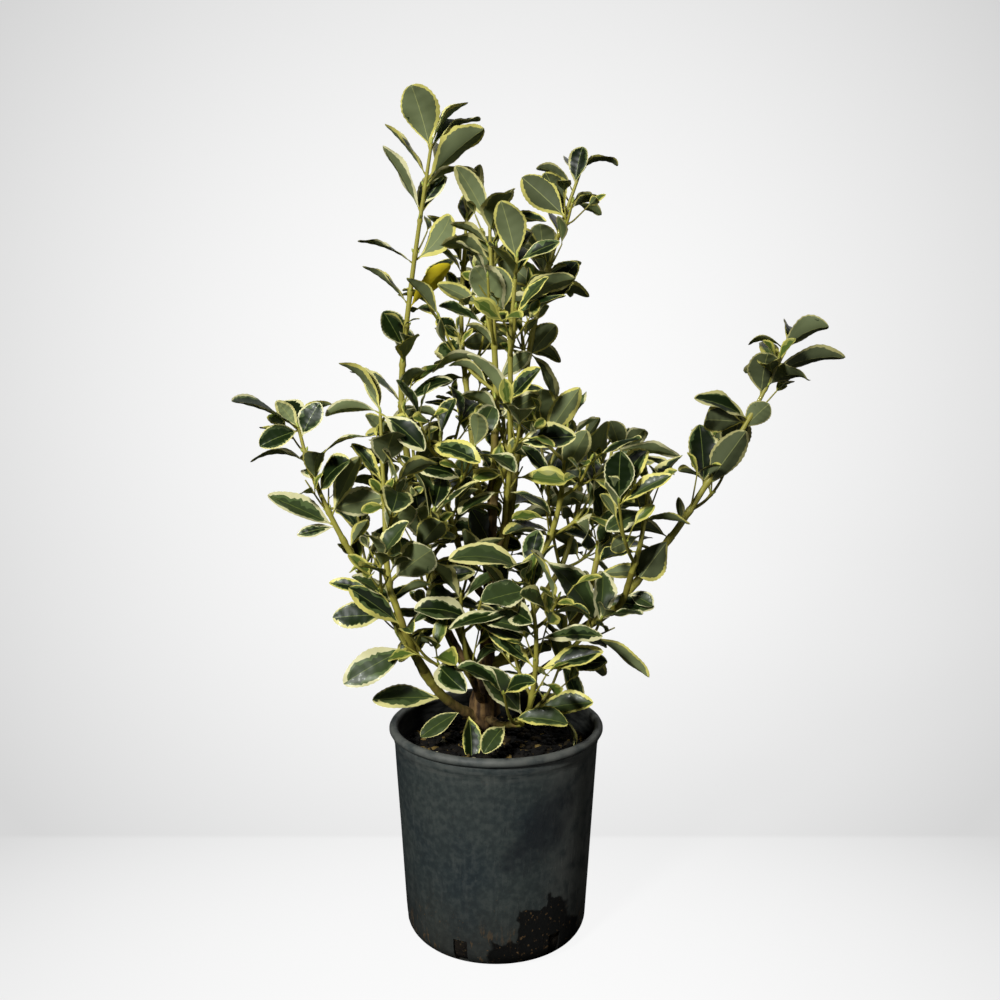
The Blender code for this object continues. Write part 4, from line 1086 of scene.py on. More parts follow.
def show(name, mesh, finishes, slot, *nodes):
    """A finished piece, which rides on the plant's body and stands for the nodes it replaces."""
    for finish in finishes:
        mesh.materials.append(finish.material)
    mesh.shade_smooth()
    mesh.set_sharp_from_angle(angle=SHARP)
    piece = bpy.data.objects.new(name, mesh)
    bpy.context.scene.collection.objects.link(piece)
    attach(piece, BODY)
    if nodes:
        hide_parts(*nodes)


def across_line(line):
    """A line's points, its directions, and two more square to it that don't turn round it."""
    points = np.array(line)
    runs = np.diff(points, axis=0)
    heads = np.vstack([runs[:1], runs[:-1] + runs[1:], runs[-1:]])
    heads /= np.linalg.norm(heads, axis=1)[:, None]
    side = np.cross(heads[0], (0, 1, 0))
    sides = []
    for head in heads:
        side = side - head * (side @ head)
        side = side / np.linalg.norm(side)
        sides.append(side)
    return points, heads, np.array(sides), np.cross(heads, sides)


def tube_spots(line, radii, sides):
    """A tube's cells, the point of the line each corner is beside, and how it stands from it."""
    points, heads, side, beside = across_line(line)
    cells = tube_cells(len(points), sides)
    rings = cells.spots[:, 0].astype(int) - 1
    near = rings.clip(0, len(points) - 1)
    out = side[near] * cells.spots[:, 1:2] + beside[near] * cells.spots[:, 2:3]
    ends = ((rings == len(points)) * 1.0 - (rings < 0)) * radii[near] * END_BULGE
    return cells, near, points[near] + heads[near] * ends[:, None], out


def swollen(marks, places, much, width):
    """How much thicker a shoot is at each mark, near the places where it swells."""
    swell = np.ones(len(marks))
    for place in places:
        swell += much * np.exp(-(((marks - place) / width) ** 2))
    return swell


class Socket:
    """One value in a material's nodes, which takes part in Python's arithmetic."""

    def __init__(self, finish, link):
        self.finish = finish
        self.link = link

    def __add__(self, other):
        return self.finish.maths("ADD", self, other)

    def __sub__(self, other):
        return self.finish.maths("SUBTRACT", self, other)

    def __rsub__(self, other):
        return self.finish.maths("SUBTRACT", other, self)

    def __mul__(self, other):
        return self.finish.maths("MULTIPLY", self, other)

    __radd__ = __add__
    __rmul__ = __mul__


class Finish:
    """One material: its shader, and the nodes that paint it."""

    def __init__(self, name, colour=None, roughness=0.5, coat=0.0, specular=0.5):
        self.material = bpy.data.materials.new(name)
        self.material.use_nodes = True
        self.tree = self.material.node_tree
        self.shader = self.tree.nodes["Principled BSDF"]
        self.shader.inputs["Roughness"].default_value = roughness
        self.shader.inputs["Coat Weight"].default_value = coat
        self.shader.inputs["Specular IOR Level"].default_value = specular
        if colour:
            self.shader.inputs["Base Color"].default_value = (*colour, 1)
            self.material.diffuse_color = (*colour, 1)

    def node(self, kind, settings, inputs, output=0):
        """Any node: its type, its settings, the values or links of its sockets."""
        made = self.tree.nodes.new(kind)
        for setting, value in settings.items():
            setattr(made, setting, value)
        for name, value in inputs.items():
            if isinstance(value, Socket):
                self.tree.links.new(value.link, made.inputs[name])
            else:
                made.inputs[name].default_value = value
        return Socket(self, made.outputs[output])

    def maths(self, operation, first, second=0.0):
        """A step of arithmetic on numbers."""
        return self.node("ShaderNodeMath", {"operation": operation}, {0: first, 1: second})

    def vector(self, operation, inputs, output=0):
        """A step of arithmetic on vectors or colours."""
        return self.node("ShaderNodeVectorMath", {"operation": operation}, inputs, output)

    def place(self):
        return self.node("ShaderNodeTexCoord", {}, {}, "Object")

    def parts(self):
        """The three object coordinates."""
        split = self.node("ShaderNodeSeparateXYZ", {}, {0: self.place()})
        return [Socket(self, output) for output in split.link.node.outputs]

    def noise(self, scale, detail=3.0, stretch=(1, 1, 1)):
        """A cloudy number around 0.5, with so many clouds to a metre."""
        vector = self.node("ShaderNodeMapping", {}, {"Vector": self.place(), "Scale": stretch})
        inputs = {"Vector": vector, "Scale": scale, "Detail": detail}
        return self.node("ShaderNodeTexNoise", {}, inputs)

    def fade(self, value, start, end):
        """0 at the start and 1 at the end, smoothly."""
        inputs = {"Value": value, "From Min": start, "From Max": end}
        return self.node("ShaderNodeMapRange", {"interpolation_type": "SMOOTHSTEP"}, inputs)

    def blend(self, share, first, second):
        """A colour between two, each a link or a plain colour."""
        colours = [c if isinstance(c, Socket) else (*c, 1) for c in (first, second)]
        inputs = {0: share, 6: colours[0], 7: colours[1]}
        return self.node("ShaderNodeMix", {"data_type": "RGBA"}, inputs, 2)

    def layered(self, colour, layers):
        """A colour with others laid over it in turn, each by its share."""
        for share, over in layers:
            colour = self.blend(share, colour, over)
        return colour

    def paint(self, socket, value):
        """The value drives a socket of the shader."""
        self.tree.links.new(value.link, self.shader.inputs[socket])

    def relief(self, height, depth):
        """Raised and sunk by the height, whose 1 stands for a depth in metres."""
        inputs = {"Strength": 1.0, "Distance": depth, "Height": height}
        self.paint("Normal", self.node("ShaderNodeBump", {}, inputs))


def arc(centre, radius, start, end, count):
    """Points along an arc of a profile, angles in degrees from the outward direction."""
    angles = [radians(start + (end - start) * i / count) for i in range(count + 1)]
    return [(centre[0] + radius * cos(a), centre[1] + radius * sin(a)) for a in angles]


def wall_radius(height):
    """The outside radius of the pot's straight wall."""
    share = (height - FOOT_CORNER) / (NECK_HEIGHT - FOOT_CORNER)
    return FOOT_RADIUS + (NECK_RADIUS - FOOT_RADIUS) * share


def corner_arc(radius, down):
    """The pot's bottom corner, with a point at the height where the slots begin."""
    centre = (FOOT_RADIUS - FOOT_CORNER, FOOT_CORNER)
    low = degrees(asin((SLOT_BASE - FOOT_CORNER) / radius))
    below, above = CORNER_STEPS
    points = [*arc(centre, radius, -90, low, below), *arc(centre, radius, low, 0, above)[1:]]
    return points[::-1] if down else points


def turned(profile, steps, start=0.0):
    """A profile of radius and height spun round Z, closed where it meets the axis."""
    solid = bmesh.new()
    places = [(radius * cos(start), radius * sin(start), z) for radius, z in profile]
    corners = [solid.verts.new(place) for place in places]
    edges = [solid.edges.new(pair) for pair in zip(corners, corners[1:])]
    bmesh.ops.spin(
        solid, geom=[*corners, *edges], axis=(0, 0, 1), cent=(0, 0, 0), angle=2 * pi, steps=steps,
        use_merge=True,
    )
    bmesh.ops.remove_doubles(solid, verts=solid.verts, dist=1e-6)
    bmesh.ops.recalc_face_normals(solid, faces=solid.faces)
    return solid


def cut_slots(solid):
    """The drainage slots: the wall's faces go, and a rim joins its outside to its inside."""
    top = SLOT_BASE + SLOT_HEIGHT
    for index in range(SLOT_COUNT):
        middle = SLOT_FIRST + 2 * pi * index / SLOT_COUNT
        half = (SLOT_STEPS / 2 + SLOT_SPARE) * 2 * pi / POT_STEPS
        window = []
        for face in solid.faces:
            at = face.calc_center_median()
            aside = (atan2(at.y, at.x) - middle + pi) % (2 * pi) - pi
            if abs(aside) < half and SLOT_BASE < at.z < top and at.xy.length > SOIL_FLAT:
                window.append(face)
        bmesh.ops.delete(solid, geom=window, context="FACES")
        rim = [edge for edge in solid.edges if edge.is_boundary]
        made = bmesh.ops.bridge_loops(solid, edges=rim)
        bmesh.ops.recalc_face_normals(solid, faces=made["faces"])
    bmesh.ops.recalc_face_normals(solid, faces=solid.faces)


def make_pot():
    """The pot's wall with its rolled rim, band and slots, a little out of round."""
    top = SLOT_BASE + SLOT_HEIGHT
    roll = (RIM_RADIUS - RIM_ROLL, POT_HEIGHT - RIM_ROLL)
    inside_turn = degrees(acos((NECK_RADIUS - WALL - roll[0]) / RIM_ROLL))
    outside_turn = degrees(acos((NECK_RADIUS - roll[0]) / RIM_ROLL))
    inside = [(wall_radius(z) - WALL, z) for z in (top, *WALL_HEIGHTS)]
    band = []
    for rise, share in BAND_PROFILE:
        height = POT_HEIGHT - BAND_HEIGHT + rise
        band.append((wall_radius(height) + BAND_PROUD * share, height))
    outside = [(wall_radius(z), z) for z in (*WALL_HEIGHTS[::-1], top)]
    profile = [
        (0, WALL),
        *corner_arc(FOOT_CORNER - WALL, False),
        *inside,
        *arc(roll, RIM_ROLL, 360 - inside_turn, -outside_turn, ROLL_STEPS),
        *band,
        *outside,
        *corner_arc(FOOT_CORNER, True),
        (0, 0),
    ]
    solid = turned(profile, POT_STEPS, SLOT_FIRST - SLOT_STEPS * pi / POT_STEPS)
    cut_slots(solid)
    for vertex in solid.verts:
        reach = vertex.co.xy.length
        if reach > SOIL_FLAT:
            much, close = POT_WAVER
            waver = 1 + much * noise(vertex.co * close) * min(1, vertex.co.z / FOOT_CORNER)
            vertex.co.xy *= min(waver, (RIM_RADIUS - RIM_SPARE) / reach)
    return solid_mesh("pot", solid)


def make_soil():
    """The soil fills the pot: a lumpy top, and the side that the slots show."""
    inner = wall_radius(SOIL_EDGE) - WALL - SOIL_GAP
    top = [(inner * i / SOIL_RINGS, SOIL_LEVEL) for i in range(SOIL_RINGS + 1)]
    side = [(wall_radius(z) - WALL - SOIL_GAP, z) for z in SOIL_SIDE]
    foot = [*corner_arc(FOOT_CORNER - WALL - SOIL_GAP, True), (0, WALL + SOIL_GAP)]
    solid = turned([*top, *side, *foot], SOIL_STEPS)
    for vertex in solid.verts:
        if vertex.co.z > SOIL_LEVEL - CLOSE:
            vertex.co.z = soil_height(*vertex.co.xy)
    return solid_mesh("soil", solid)


def soil_height(x, y):
    """How high the soil lies, a little lumpy and lower at the wall."""
    place = Vector((x, y, 0))
    edge = min(1, max(0, (place.length - SOIL_FLAT) / (NECK_RADIUS - SOIL_FLAT)))
    lumps = SOIL_LUMPS[0] * noise(place * SOIL_LUMPS[1])
    lumps += SOIL_GRAINS[0] * noise(place * SOIL_GRAINS[1] + UP)
    return SOIL_LEVEL - (SOIL_LEVEL - SOIL_EDGE) * edge + lumps


def make_crumbs(count):
    """Crumbs of bark and peat on the soil, with a few pale grains."""
    heap = Heap()
    draw = Random(7)
    cells = crumb_cells()
    much, close = CRUMB_ROUGHNESS
    for _ in range(count):
        turn, share = draw.uniform(0, 2 * pi), draw.random()
        size = draw.choice(CRUMB_SIZES)
        reach = (wall_radius(SOIL_EDGE) - WALL - CRUMB_SPARE * size) * share ** 0.5
        x, y = reach * cos(turn), reach * sin(turn)
        kind = draw.choices(range(len(CRUMBS)), CRUMB_SHARES)[0]
        flat = draw.uniform(*CRUMB_FLATNESS)
        spin = Matrix.Rotation(draw.uniform(0, 2 * pi), 3, "Z")
        spin = spin @ Matrix.Rotation(draw.gauss(0, CRUMB_TILT), 3, "X")
        bumps = [noise(Vector(spot) * close + UP * turn * 9) for spot in cells.spots]
        rough = 1 + much * np.array(bumps)
        spots = cells.spots * rough[:, None] * (size * draw.uniform(*CRUMB_LONG), size, size * flat)
        place = (x, y, soil_height(x, y) + size * flat * CRUMB_ABOVE)
        heap.add(cells, spots @ np.array(spin.transposed()) + place, kind)
    return heap.mesh("soil_crumbs")


def make_limb(name, limb, children):
    """A limb's bark: swollen where boughs leave it, ringed, and furrowed where it is old."""
    line = smooth_line(limb.line, BARK_STEP)
    marks = np.linspace(0, limb.length, len(line))
    radii = np.linspace(limb.radii[0], limb.radii[-1], len(line))
    draw = Random(len(name) + len(children))
    knots = [min(marks, key=lambda mark: (limb.at(mark)[0] - foot).length) for foot in children]
    rings = []
    place = draw.uniform(*RING_FIRST) * NODE_GAP
    while place < limb.length - RING_LAST:
        rings.append(place)
        place += NODE_GAP * draw.uniform(*RING_GAPS)
    radii = radii * swollen(marks, knots, *FORK_SWELLING) * swollen(marks, rings, *RING_SWELLING)
    radii = radii * swollen(marks, [limb.length], *END_SWELLING)
    trunk = name == "trunk"
    if trunk:
        heights = np.array([point.z for point in line])
        radii = radii * (1 + FLARE * np.exp(-(heights - SOIL_LEVEL).clip(0) / FLARE_HEIGHT))
    else:
        radii = radii * swollen(marks, [0], *FOOT_SWELLING)
    cells, near, places, out = tube_spots(line, radii, BARK_SIDES)
    relief = []
    for index, place, way in zip(near, places, out):
        spot = Vector(place)
        old = 1 - min(1, max(0, (spot.z - OLD_WOOD[0]) / (OLD_WOOD[1] - OLD_WOOD[0])))
        old = old if trunk else BOUGH_FURROWS * old
        turn = Vector(way) * FURROWS[0] + UP * marks[index] * FURROWS[1]
        fine = Vector((turn.x, turn.y, turn.z * FINE_STRETCH)) * FINE_FURROWS
        furrow = (noise(turn * COARSE_FURROWS) + noise(fine)) / 2
        lumps = BARK_LUMPS[0] * noise(spot * BARK_LUMPS[1])
        rough = old * (FURROW_DEPTH * furrow + lumps)
        relief.append(1 + rough + BARK_GRAIN[0] * noise(spot * BARK_GRAIN[1]))
    spots = places + out * (radii[near] * np.array(relief))[:, None]
    heap = Heap()
    heap.add(cells, spots, 0)
    return heap.mesh(name)


def add_shoot(heap, shoot, step, sides, places, kind, begin=0.0):
    """A green stem or twig, swollen where its leaves join it."""
    line = smooth_line(shoot.line, step)
    if begin:
        line = [line[0] - (line[1] - line[0]).normalized() * begin, *line]
    marks = np.linspace(0, shoot.length, len(line) - bool(begin))
    radii = np.linspace(shoot.radii[0], shoot.radii[-1], len(marks))
    radii = radii * swollen(marks, places, *SWELLING)
    if begin:
        radii = np.concatenate([[radii[0] * OVERLAP_WIDTH], radii])
    cells, near, spots, out = tube_spots(line, radii, sides)
    heap.add(cells, spots + out * radii[near][:, None], kind)


def add_bud(heap, foot, way, length, radius, kind):
    """A pointed bud, standing from its foot in a direction."""
    turn = np.array(way.to_track_quat("Z", "Y").to_matrix())
    cells = bud_cells()
    share = (cells.spots[:, 2] + 1) / 2
    wide = radius * (BUD_TAPER[0] - BUD_TAPER[1] * share)
    spots = np.stack([cells.spots[:, 0] * wide, cells.spots[:, 1] * wide, share * length], axis=1)
    heap.add(cells, spots @ turn.T + np.array(foot), kind)


def make_shoots(mass):
    """The stem, the twigs, the young shoots and the buds of one mass."""
    heap = Heap()
    draw = Random(mass.rule.seed)
    stems = range(len(STEM_TONES))
    add_shoot(heap, mass.stem, SHOOT_STEP, SHOOT_SIDES, mass.stem.pairs, 0, OVERLAP)
    for twig in mass.twigs:
        add_shoot(heap, twig, SHOOT_STEP, SHOOT_SIDES - 2, twig.pairs, draw.choice(stems))
    for spur in mass.spurs:
        add_shoot(heap, spur, SHOOT_STEP, SPUR_SIDES, [], draw.choice(stems))
    bud = len(STEM_TONES)
    for shoot, distance, angle in mass.axils:
        centre, way, radius = shoot.at(distance + BUD_ABOVE)
        side = turned_from(way, angle)
        size = draw.uniform(*BUD_SIZES)
        length, width = (number * size for number in AXIL_BUD)
        add_bud(heap, centre + side * radius * BUD_OUT, way + side * BUD_LEAN, length, width, bud)
    for shoot in (mass.stem, *mass.twigs):
        tip, way, radius = shoot.at(shoot.length)
        add_bud(heap, tip - way * CLOSE, way, TIP_BUD[0], max(radius, TIP_BUD[1]), bud)
    return heap.mesh(mass.name.replace("leaves", "shoots"))


def waving(places, seed):
    """A smooth random number from -1 to 1 at each place along a line."""
    return np.array([noise(Vector((place, seed, 0.5 * seed))) for place in places])


def leaf_outline(leaf, rows, draw):
    """Along one leaf: how far each row is from its base, and its half width there."""
    even = np.linspace(0, 1, rows + 1)
    reach = EVEN_ROWS * even + (1 - EVEN_ROWS) / 2 * (1 - np.cos(pi * even))
    blade = ((reach - PETIOLE) / (1 - PETIOLE)).clip(0, 1)
    round_off = ROUNDNESS[0] - ROUNDNESS[1] * blade
    outline = np.sin(pi * blade ** draw.uniform(*FULLEST)).clip(0) ** round_off
    toothed = (blade > TOOTHED[0]) * (blade < TOOTHED[1])
    teeth = TEETH * np.where(np.arange(rows + 1) % 2, 1, -1) * toothed
    broad = draw.uniform(*LEAF_BROAD)
    widest = 0.5 * leaf.length * (leaf.broad or broad)
    return reach, blade, widest * np.maximum(outline * (1 + teeth), STALK_WIDTH * (1 - blade))


def add_leaf(heap, leaf, draw, colours):
    """One leaf: arched, folded, waved, and edged with cream, with its colours' numbers.

    Each half has its own ragged edge. The columns run from the rim to the midrib on one half
    and back on the other, above and then below, and the midline of the blade comes last.
    """
    rows = YOUNG_ROWS if leaf.young else LEAF_ROWS
    reach, blade, half = leaf_outline(leaf, rows, draw)
    seed = draw.uniform(0, 90)

    def waver(line, places, side):
        close, shift = WAVERS[line]
        return waving(places * close, seed + shift + side * SIDE_SHIFT)

    wide = leaf.length / LEAF_LENGTH * (YOUNG_EDGE if leaf.young else 1.0)
    tops, backs, edge = [], [], []
    rib = (RIB_WIDTH / half / 2).clip(*RIB_SHARE)
    ones, steps = np.ones(rows + 1), np.arange(rows + 1)
    for side in (0, 1):
        full = draw.uniform(*MARGIN_WIDTH) * wide
        full = full * (1 + MARGIN_WAVER * waver("margin", blade, side))
        feather = 1 + FEATHER * waver("feather", steps, side)
        margin = full * feather
        mix = draw.uniform(*BLEND_WIDTH) * wide
        mix = mix * (BLEND_LEVEL + waver("blend", blade, side)).clip(BLEND_LEAST)
        mix = mix * (1 + FEATHER * waver("blend_feather", steps, side))
        outer = (1 - margin / half).clip(*EDGE_RANGE)
        inner = (outer - mix / half).clip(GREEN_LEAST, outer - BLEND_SPARE)
        rim = (1 - BACK_SHARE * (BACK_MORE + full * feather ** 0.5) / half).clip(*BACK_RANGE)
        tops.append([ones, outer, inner, (inner + rib) / 2, rib])
        backs.append([ones, rim, (rim + rib) / 2, rib])
        edge.append(1 - margin / half < ALL_EDGE)
    columns = [-c for c in tops[0]] + tops[1][::-1] + [-c for c in backs[0]] + backs[1][::-1]
    across = np.stack([*columns, np.zeros(rows + 1)], axis=1)
    veins = VEIN_RELIEF * np.cos(2 * pi * (VEINS[0] * blade[:, None] - VEINS[1] * abs(across)))
    thick = np.where(reach < PETIOLE, STALK_THICK, BLADE_THICK)[:, None] * (abs(across) < AT_RIM)
    thick[:, TOP_STRIPS + 1:TOP_STRIPS + BACK_STRIPS + 2] *= -1
    lift = thick + veins * (blade > VEINED[0])[:, None] * (abs(across) < VEINED[1])
    middle = TOP_STRIPS + 1 + BACK_STRIPS // 2
    lift[:, [middle, middle + 1]] -= RIB_DEPTH
    cells = leaf_cells(rows)
    row, column = cells.spots[:, 0].astype(int), cells.spots[:, 1].astype(int)
    spots = leaf_spots(leaf, draw, reach[row], half[row], across[row, column], lift[row, column])
    heap.add(cells, spots, leaf_kinds(cells, leaf, draw, blade, edge, colours))


def leaf_spots(leaf, draw, reach, half, across, lift):
    """Where the corners of a leaf lie, on the arc of the source's leaf."""
    turn = leaf.bend * reach
    forward = leaf.length * np.sin(turn) / leaf.bend
    down = leaf.length * (1 - np.cos(turn)) / leaf.bend
    along, over, beside = (np.array(way) for way in (leaf.along, leaf.over, leaf.across))
    normal = over * np.cos(turn)[:, None] + along * np.sin(turn)[:, None]
    twist = draw.uniform(*LEAF_TWIST) * reach
    fold = LEAF_FOLD * draw.uniform(*FOLDS)
    phase = 2 * pi * draw.uniform(*WAVES) * reach + WAVE_SLANT * across + draw.uniform(0, 6)
    wave = LEAF_WAVE * np.sin(phase)
    aside = half * across * cos(fold)
    rise = half * sin(fold) * abs(across) ** FOLD_CURVE
    rise = rise + wave * across ** 2 * half / WAVE_WIDTH + lift
    middle = np.array(leaf.base) + along * forward[:, None] - over * down[:, None]
    level = beside * np.cos(twist)[:, None] + normal * np.sin(twist)[:, None]
    upright = normal * np.cos(twist)[:, None] - beside * np.sin(twist)[:, None]
    return middle + level * aside[:, None] + upright * rise[:, None]


def leaf_kinds(cells, leaf, draw, blade, edge, colours):
    """Which colour each face of a leaf has."""
    names = ["margin", "mid", "dark", "dark", "rib", "dark", "dark", "mid", "margin"]
    names += ["back_rim", "back", "back", "back_rib", "back", "back", "back_rim"]
    tones = {name: draw.choice(numbers) for name, numbers in colours.items()}
    prefix = "young_" if leaf.young else ""
    chosen = [tones.get(prefix + name, tones.get(name)) for name in names]
    table = np.tile(chosen, (len(blade), 1))
    middle = TOP_STRIPS // 2
    for side, strips in ((0, slice(0, middle)), (1, slice(middle + 1, TOP_STRIPS))):
        table[edge[side], strips] = chosen[0]
    table[blade <= 0] = tones["stalk"]
    return table[cells.rows, cells.strips]


def toned(colour, tone):
    return tuple(level * tone for level in colour)


def blended(first, second, share):
    return tuple(a + (b - a) * share for a, b in zip(first, second))


def pot_finish(settings):
    """Dark moulded plastic: cloudy wear, smears and scratches, a film of earth, a wet patch, with
    painted fill light on the right of the front, a painted highlight on the rim and painted shade
    inside the pot above the soil.
    """
    finish = Finish("pot_plastic", specular=0.35)
    fade, speckle = finish.fade, finish.noise
    x, y, z = finish.parts()
    front = fade(y, 0.0, -0.012)
    ragged = (speckle(52, 6) - 0.5) * 0.060
    uneven = z + ragged
    cloud = fade(speckle(11, 7), 0.30, 0.62)
    mottle = speckle(160, 8)
    # Dusty scuffs on the right of the front, which are also painted fill light: that side is
    # lightened as a lamp from the right would light it.
    scuffs_and_painted_fill_light = fade(x, 0.035, 0.085) * front
    smear = fade(speckle(190, 5, (1, 1, 0.16)), 0.56, 0.72)
    scratch = fade(speckle(420, 2, (1, 1, 0.10)), 0.63, 0.68)
    # The inside of the rim and the wall above the soil: painted shade, laid in the near-black of
    # the wet patch.
    inside = fade(finish.maths("SQRT", x * x + y * y), RIM_RADIUS - 0.0065, RIM_RADIUS - 0.0075)
    smudge = fade(finish.maths("ABSOLUTE", x - z * 0.45 + 0.022 + ragged), 0.034, 0.008)
    smudge = smudge * fade(uneven, 0.100, 0.130) * fade(uneven, 0.196, 0.160) * front
    film = fade(uneven, 0.095, 0.010)
    band = fade(z, POT_HEIGHT - 0.034, POT_HEIGHT - 0.018)
    # The top of the rim: dusty, with a painted highlight where the light catches its roll.
    rim = fade(z, POT_HEIGHT - 0.012, POT_HEIGHT - 0.002)
    speck = fade(speckle(420, 2), 0.700, 0.735)
    crust = fade(speckle(240, 5, (1, 1, 0.3)), 0.58, 0.66) * fade(uneven, 0.058, 0.018)
    right = fade(x + ragged * 0.35, 0.0205, 0.0225) * fade(z - x * 0.25 + ragged, 0.058, 0.054)
    left = fade(x + ragged * 0.6, -0.010, -0.004) * fade(z + ragged * 0.7, 0.034, 0.030)
    wet = finish.maths("MAXIMUM", right, left) * fade(x + z * 0.35 + ragged * 0.6, 0.094, 0.088)
    wet = wet * front
    layers = (
        (cloud, settings.worn),
        (fade(mottle, 0.46, 0.68) * 0.14, settings.dust_and_painted_light),
        (fade(mottle, 0.54, 0.34) * 0.30, settings.deep),
        # Dusty scuffs and painted fill light on the right of the front
        (scuffs_and_painted_fill_light * fade(speckle(60, 8), 0.24, 0.60) * 0.7, settings.dust_and_painted_light),
        (smear * 0.08, settings.dust_and_painted_light),
        # Scratches, stronger on the right of the front where the fill light is painted
        (scratch * (0.08 + scuffs_and_painted_fill_light * 0.5), settings.dust_and_painted_light),
        # Painted shade inside the pot above the soil
        (inside * fade(z, 0.186, 0.190) * 0.8, settings.wet),
        (smudge * 0.75, settings.deep),
        (film * 0.55, settings.film),
        (band * fade(speckle(60, 6, (1, 1, 4)), 0.34, 0.62) * 0.28, settings.dust_and_painted_light),
        # Dusty, with a painted highlight, on the rim's top
        (rim * fade(speckle(60, 7), 0.30, 0.62) * 0.75, settings.dust_and_painted_light),
        (speck * (0.16 + film * 0.84), settings.earth),
        (crust * 0.55, settings.earth),
        (wet * 0.92, settings.wet),
        (wet * fade(speckle(260, 3), 0.62, 0.68) * 0.7, settings.earth),
    )
    finish.paint("Base Color", finish.layered(settings.colour, layers))
    finish.paint("Roughness", 0.52 + cloud * 0.10 + smear * 0.10 - wet * 0.08)
    grain = speckle(600, 3) * 0.25 + smear * 0.20 + scratch * 0.30 + crust * 0.9 + mottle * 0.5
    finish.relief(grain + speckle(11, 2) * 3.0, 0.00030)
    return finish


def soil_finish(settings):
    """Moist potting mix, nearly black, with browner fibres."""
    finish = Finish("soil", specular=0.25)
    lumps = finish.noise(120, 6)
    fibre = finish.fade(finish.noise(420, 3, (1, 0.3, 1)), 0.60, 0.70)
    layers = ((finish.fade(lumps, 0.35, 0.68), settings.brown), (fibre * 0.7, settings.fibre))
    finish.paint("Base Color", finish.layered(settings.colour, layers))
    finish.paint("Roughness", 0.98 - finish.fade(lumps, 0.6, 0.4) * 0.2)
    finish.relief(lumps + finish.noise(500, 4) * 0.5, 0.0022)
    return finish


def bark_finish(name, settings, green, brown):
    """Bark that turns from smooth green at one height to brown and fissured at another."""
    finish = Finish(name, specular=0.35)
    fade, speckle = finish.fade, finish.noise
    z = finish.parts()[2]
    fibre = speckle(150, 6, (1, 1, 0.14))
    old = fade(z + (speckle(22, 4) - 0.5) * 0.10, green, brown)
    streaks = (fade(speckle(26, 4), 0.38, 0.66), settings.stem_dark)
    fibres = (fade(fibre, 0.52, 0.66) * 0.35, settings.bark)
    smooth = finish.layered(settings.stem, (streaks, fibres))
    worn = (fade(speckle(70, 4), 0.58, 0.72) * 0.6, settings.bark_pale)
    rough = finish.layered(settings.bark_dark, ((fade(fibre, 0.38, 0.64), settings.bark), worn))
    pores = fade(speckle(620, 2, (1, 1, 0.6)), 0.66, 0.70)
    layers = ((old, rough), (pores * 0.5, settings.bark_dark))
    finish.paint("Base Color", finish.layered(smooth, layers))
    finish.paint("Roughness", 0.50 + old * 0.35)
    finish.relief(fibre * (0.15 + old * 0.85) + pores * 0.1, 0.0011)
    return finish


def leaf_finishes(leaf, bark):
    """The plain finishes of the leaves, and which numbers each part of a leaf may have."""
    glossy, matt, waxy = (0.42, 0.03), (0.68, 0.0), (0.45, 0.05)
    greyer, creamy = blended(leaf.dark, leaf.mid, 0.45), blended(leaf.margin, leaf.pale, 0.5)
    young_mid = blended(leaf.young, leaf.young_margin, 0.4)
    young_back = blended(leaf.back, leaf.young, 0.3)
    # The first colour of each list of several is a darker copy, painted shade, which only the
    # shaded masses get.
    table = {
        "dark": ([toned(leaf.dark, tone) for tone in (0.6, 0.8, 1.2)] + [greyer], glossy),
        "mid": ([toned(leaf.mid, tone) for tone in TONES], glossy),
        "margin": ([toned(creamy, 0.7), leaf.margin, leaf.pale, creamy], glossy),
        "rib": ([leaf.rib], glossy),
        "back": ([toned(leaf.back, tone) for tone in TONES], matt),
        "back_rim": ([toned(creamy, 0.6), toned(leaf.margin, 0.9), leaf.pale, creamy], matt),
        "back_rib": ([leaf.back_rib], matt),
        "stalk": ([bark.stem], waxy),
        "young_dark": ([toned(leaf.young, 0.78), leaf.young], glossy),
        "young_mid": ([young_mid], glossy),
        "young_margin": ([leaf.young_margin], glossy),
        "young_back": ([young_back], matt),
        "yellow": ([leaf.yellow], waxy),
    }
    finishes, numbers = [], {}
    for name, (colours, (roughness, coat)) in table.items():
        numbers[name] = range(len(finishes), len(finishes) + len(colours))
        for colour in colours:
            given = (colour, roughness, coat, LEAF_SHINE)
            finishes.append(Finish(f"leaf_{name}_{len(finishes)}", *given))
    return finishes, numbers


def backdrop_finish(settings):
    """The floor and the wall glow softly, so that they stay pale however little light falls."""
    finish = Finish("backdrop", settings.floor, 1.0, 0, 0)
    y = finish.parts()[1]
    run = finish.vector("SUBTRACT", {0: finish.place(), 1: GLOW_FROM})
    way = finish.vector("NORMALIZE", {0: run})
    near = finish.vector("DOT_PRODUCT", {0: way, 1: GLOW_WAY}, "Value")
    wall = finish.blend((near - GLOW_EDGE) * (1 / (1 - GLOW_EDGE)), settings.dim, settings.wall)
    off = finish.vector("SUBTRACT", {0: finish.place(), 1: POOL_MIDDLE})
    far = finish.vector("LENGTH", {0: off}, "Value")
    pool = finish.blend(far * far * (1 / POOL_REACH ** 2), settings.pool, settings.dim)
    finish.paint("Emission Color", finish.blend(finish.fade(y, *HORIZON), pool, wall))
    finish.shader.inputs["Emission Strength"].default_value = 1.0
    return finish


def add_setting(colour, name, text):
    return FloatVectorProperty(
        name=name, description=text, subtype="COLOR", size=3, min=0, max=1, default=colour
    )


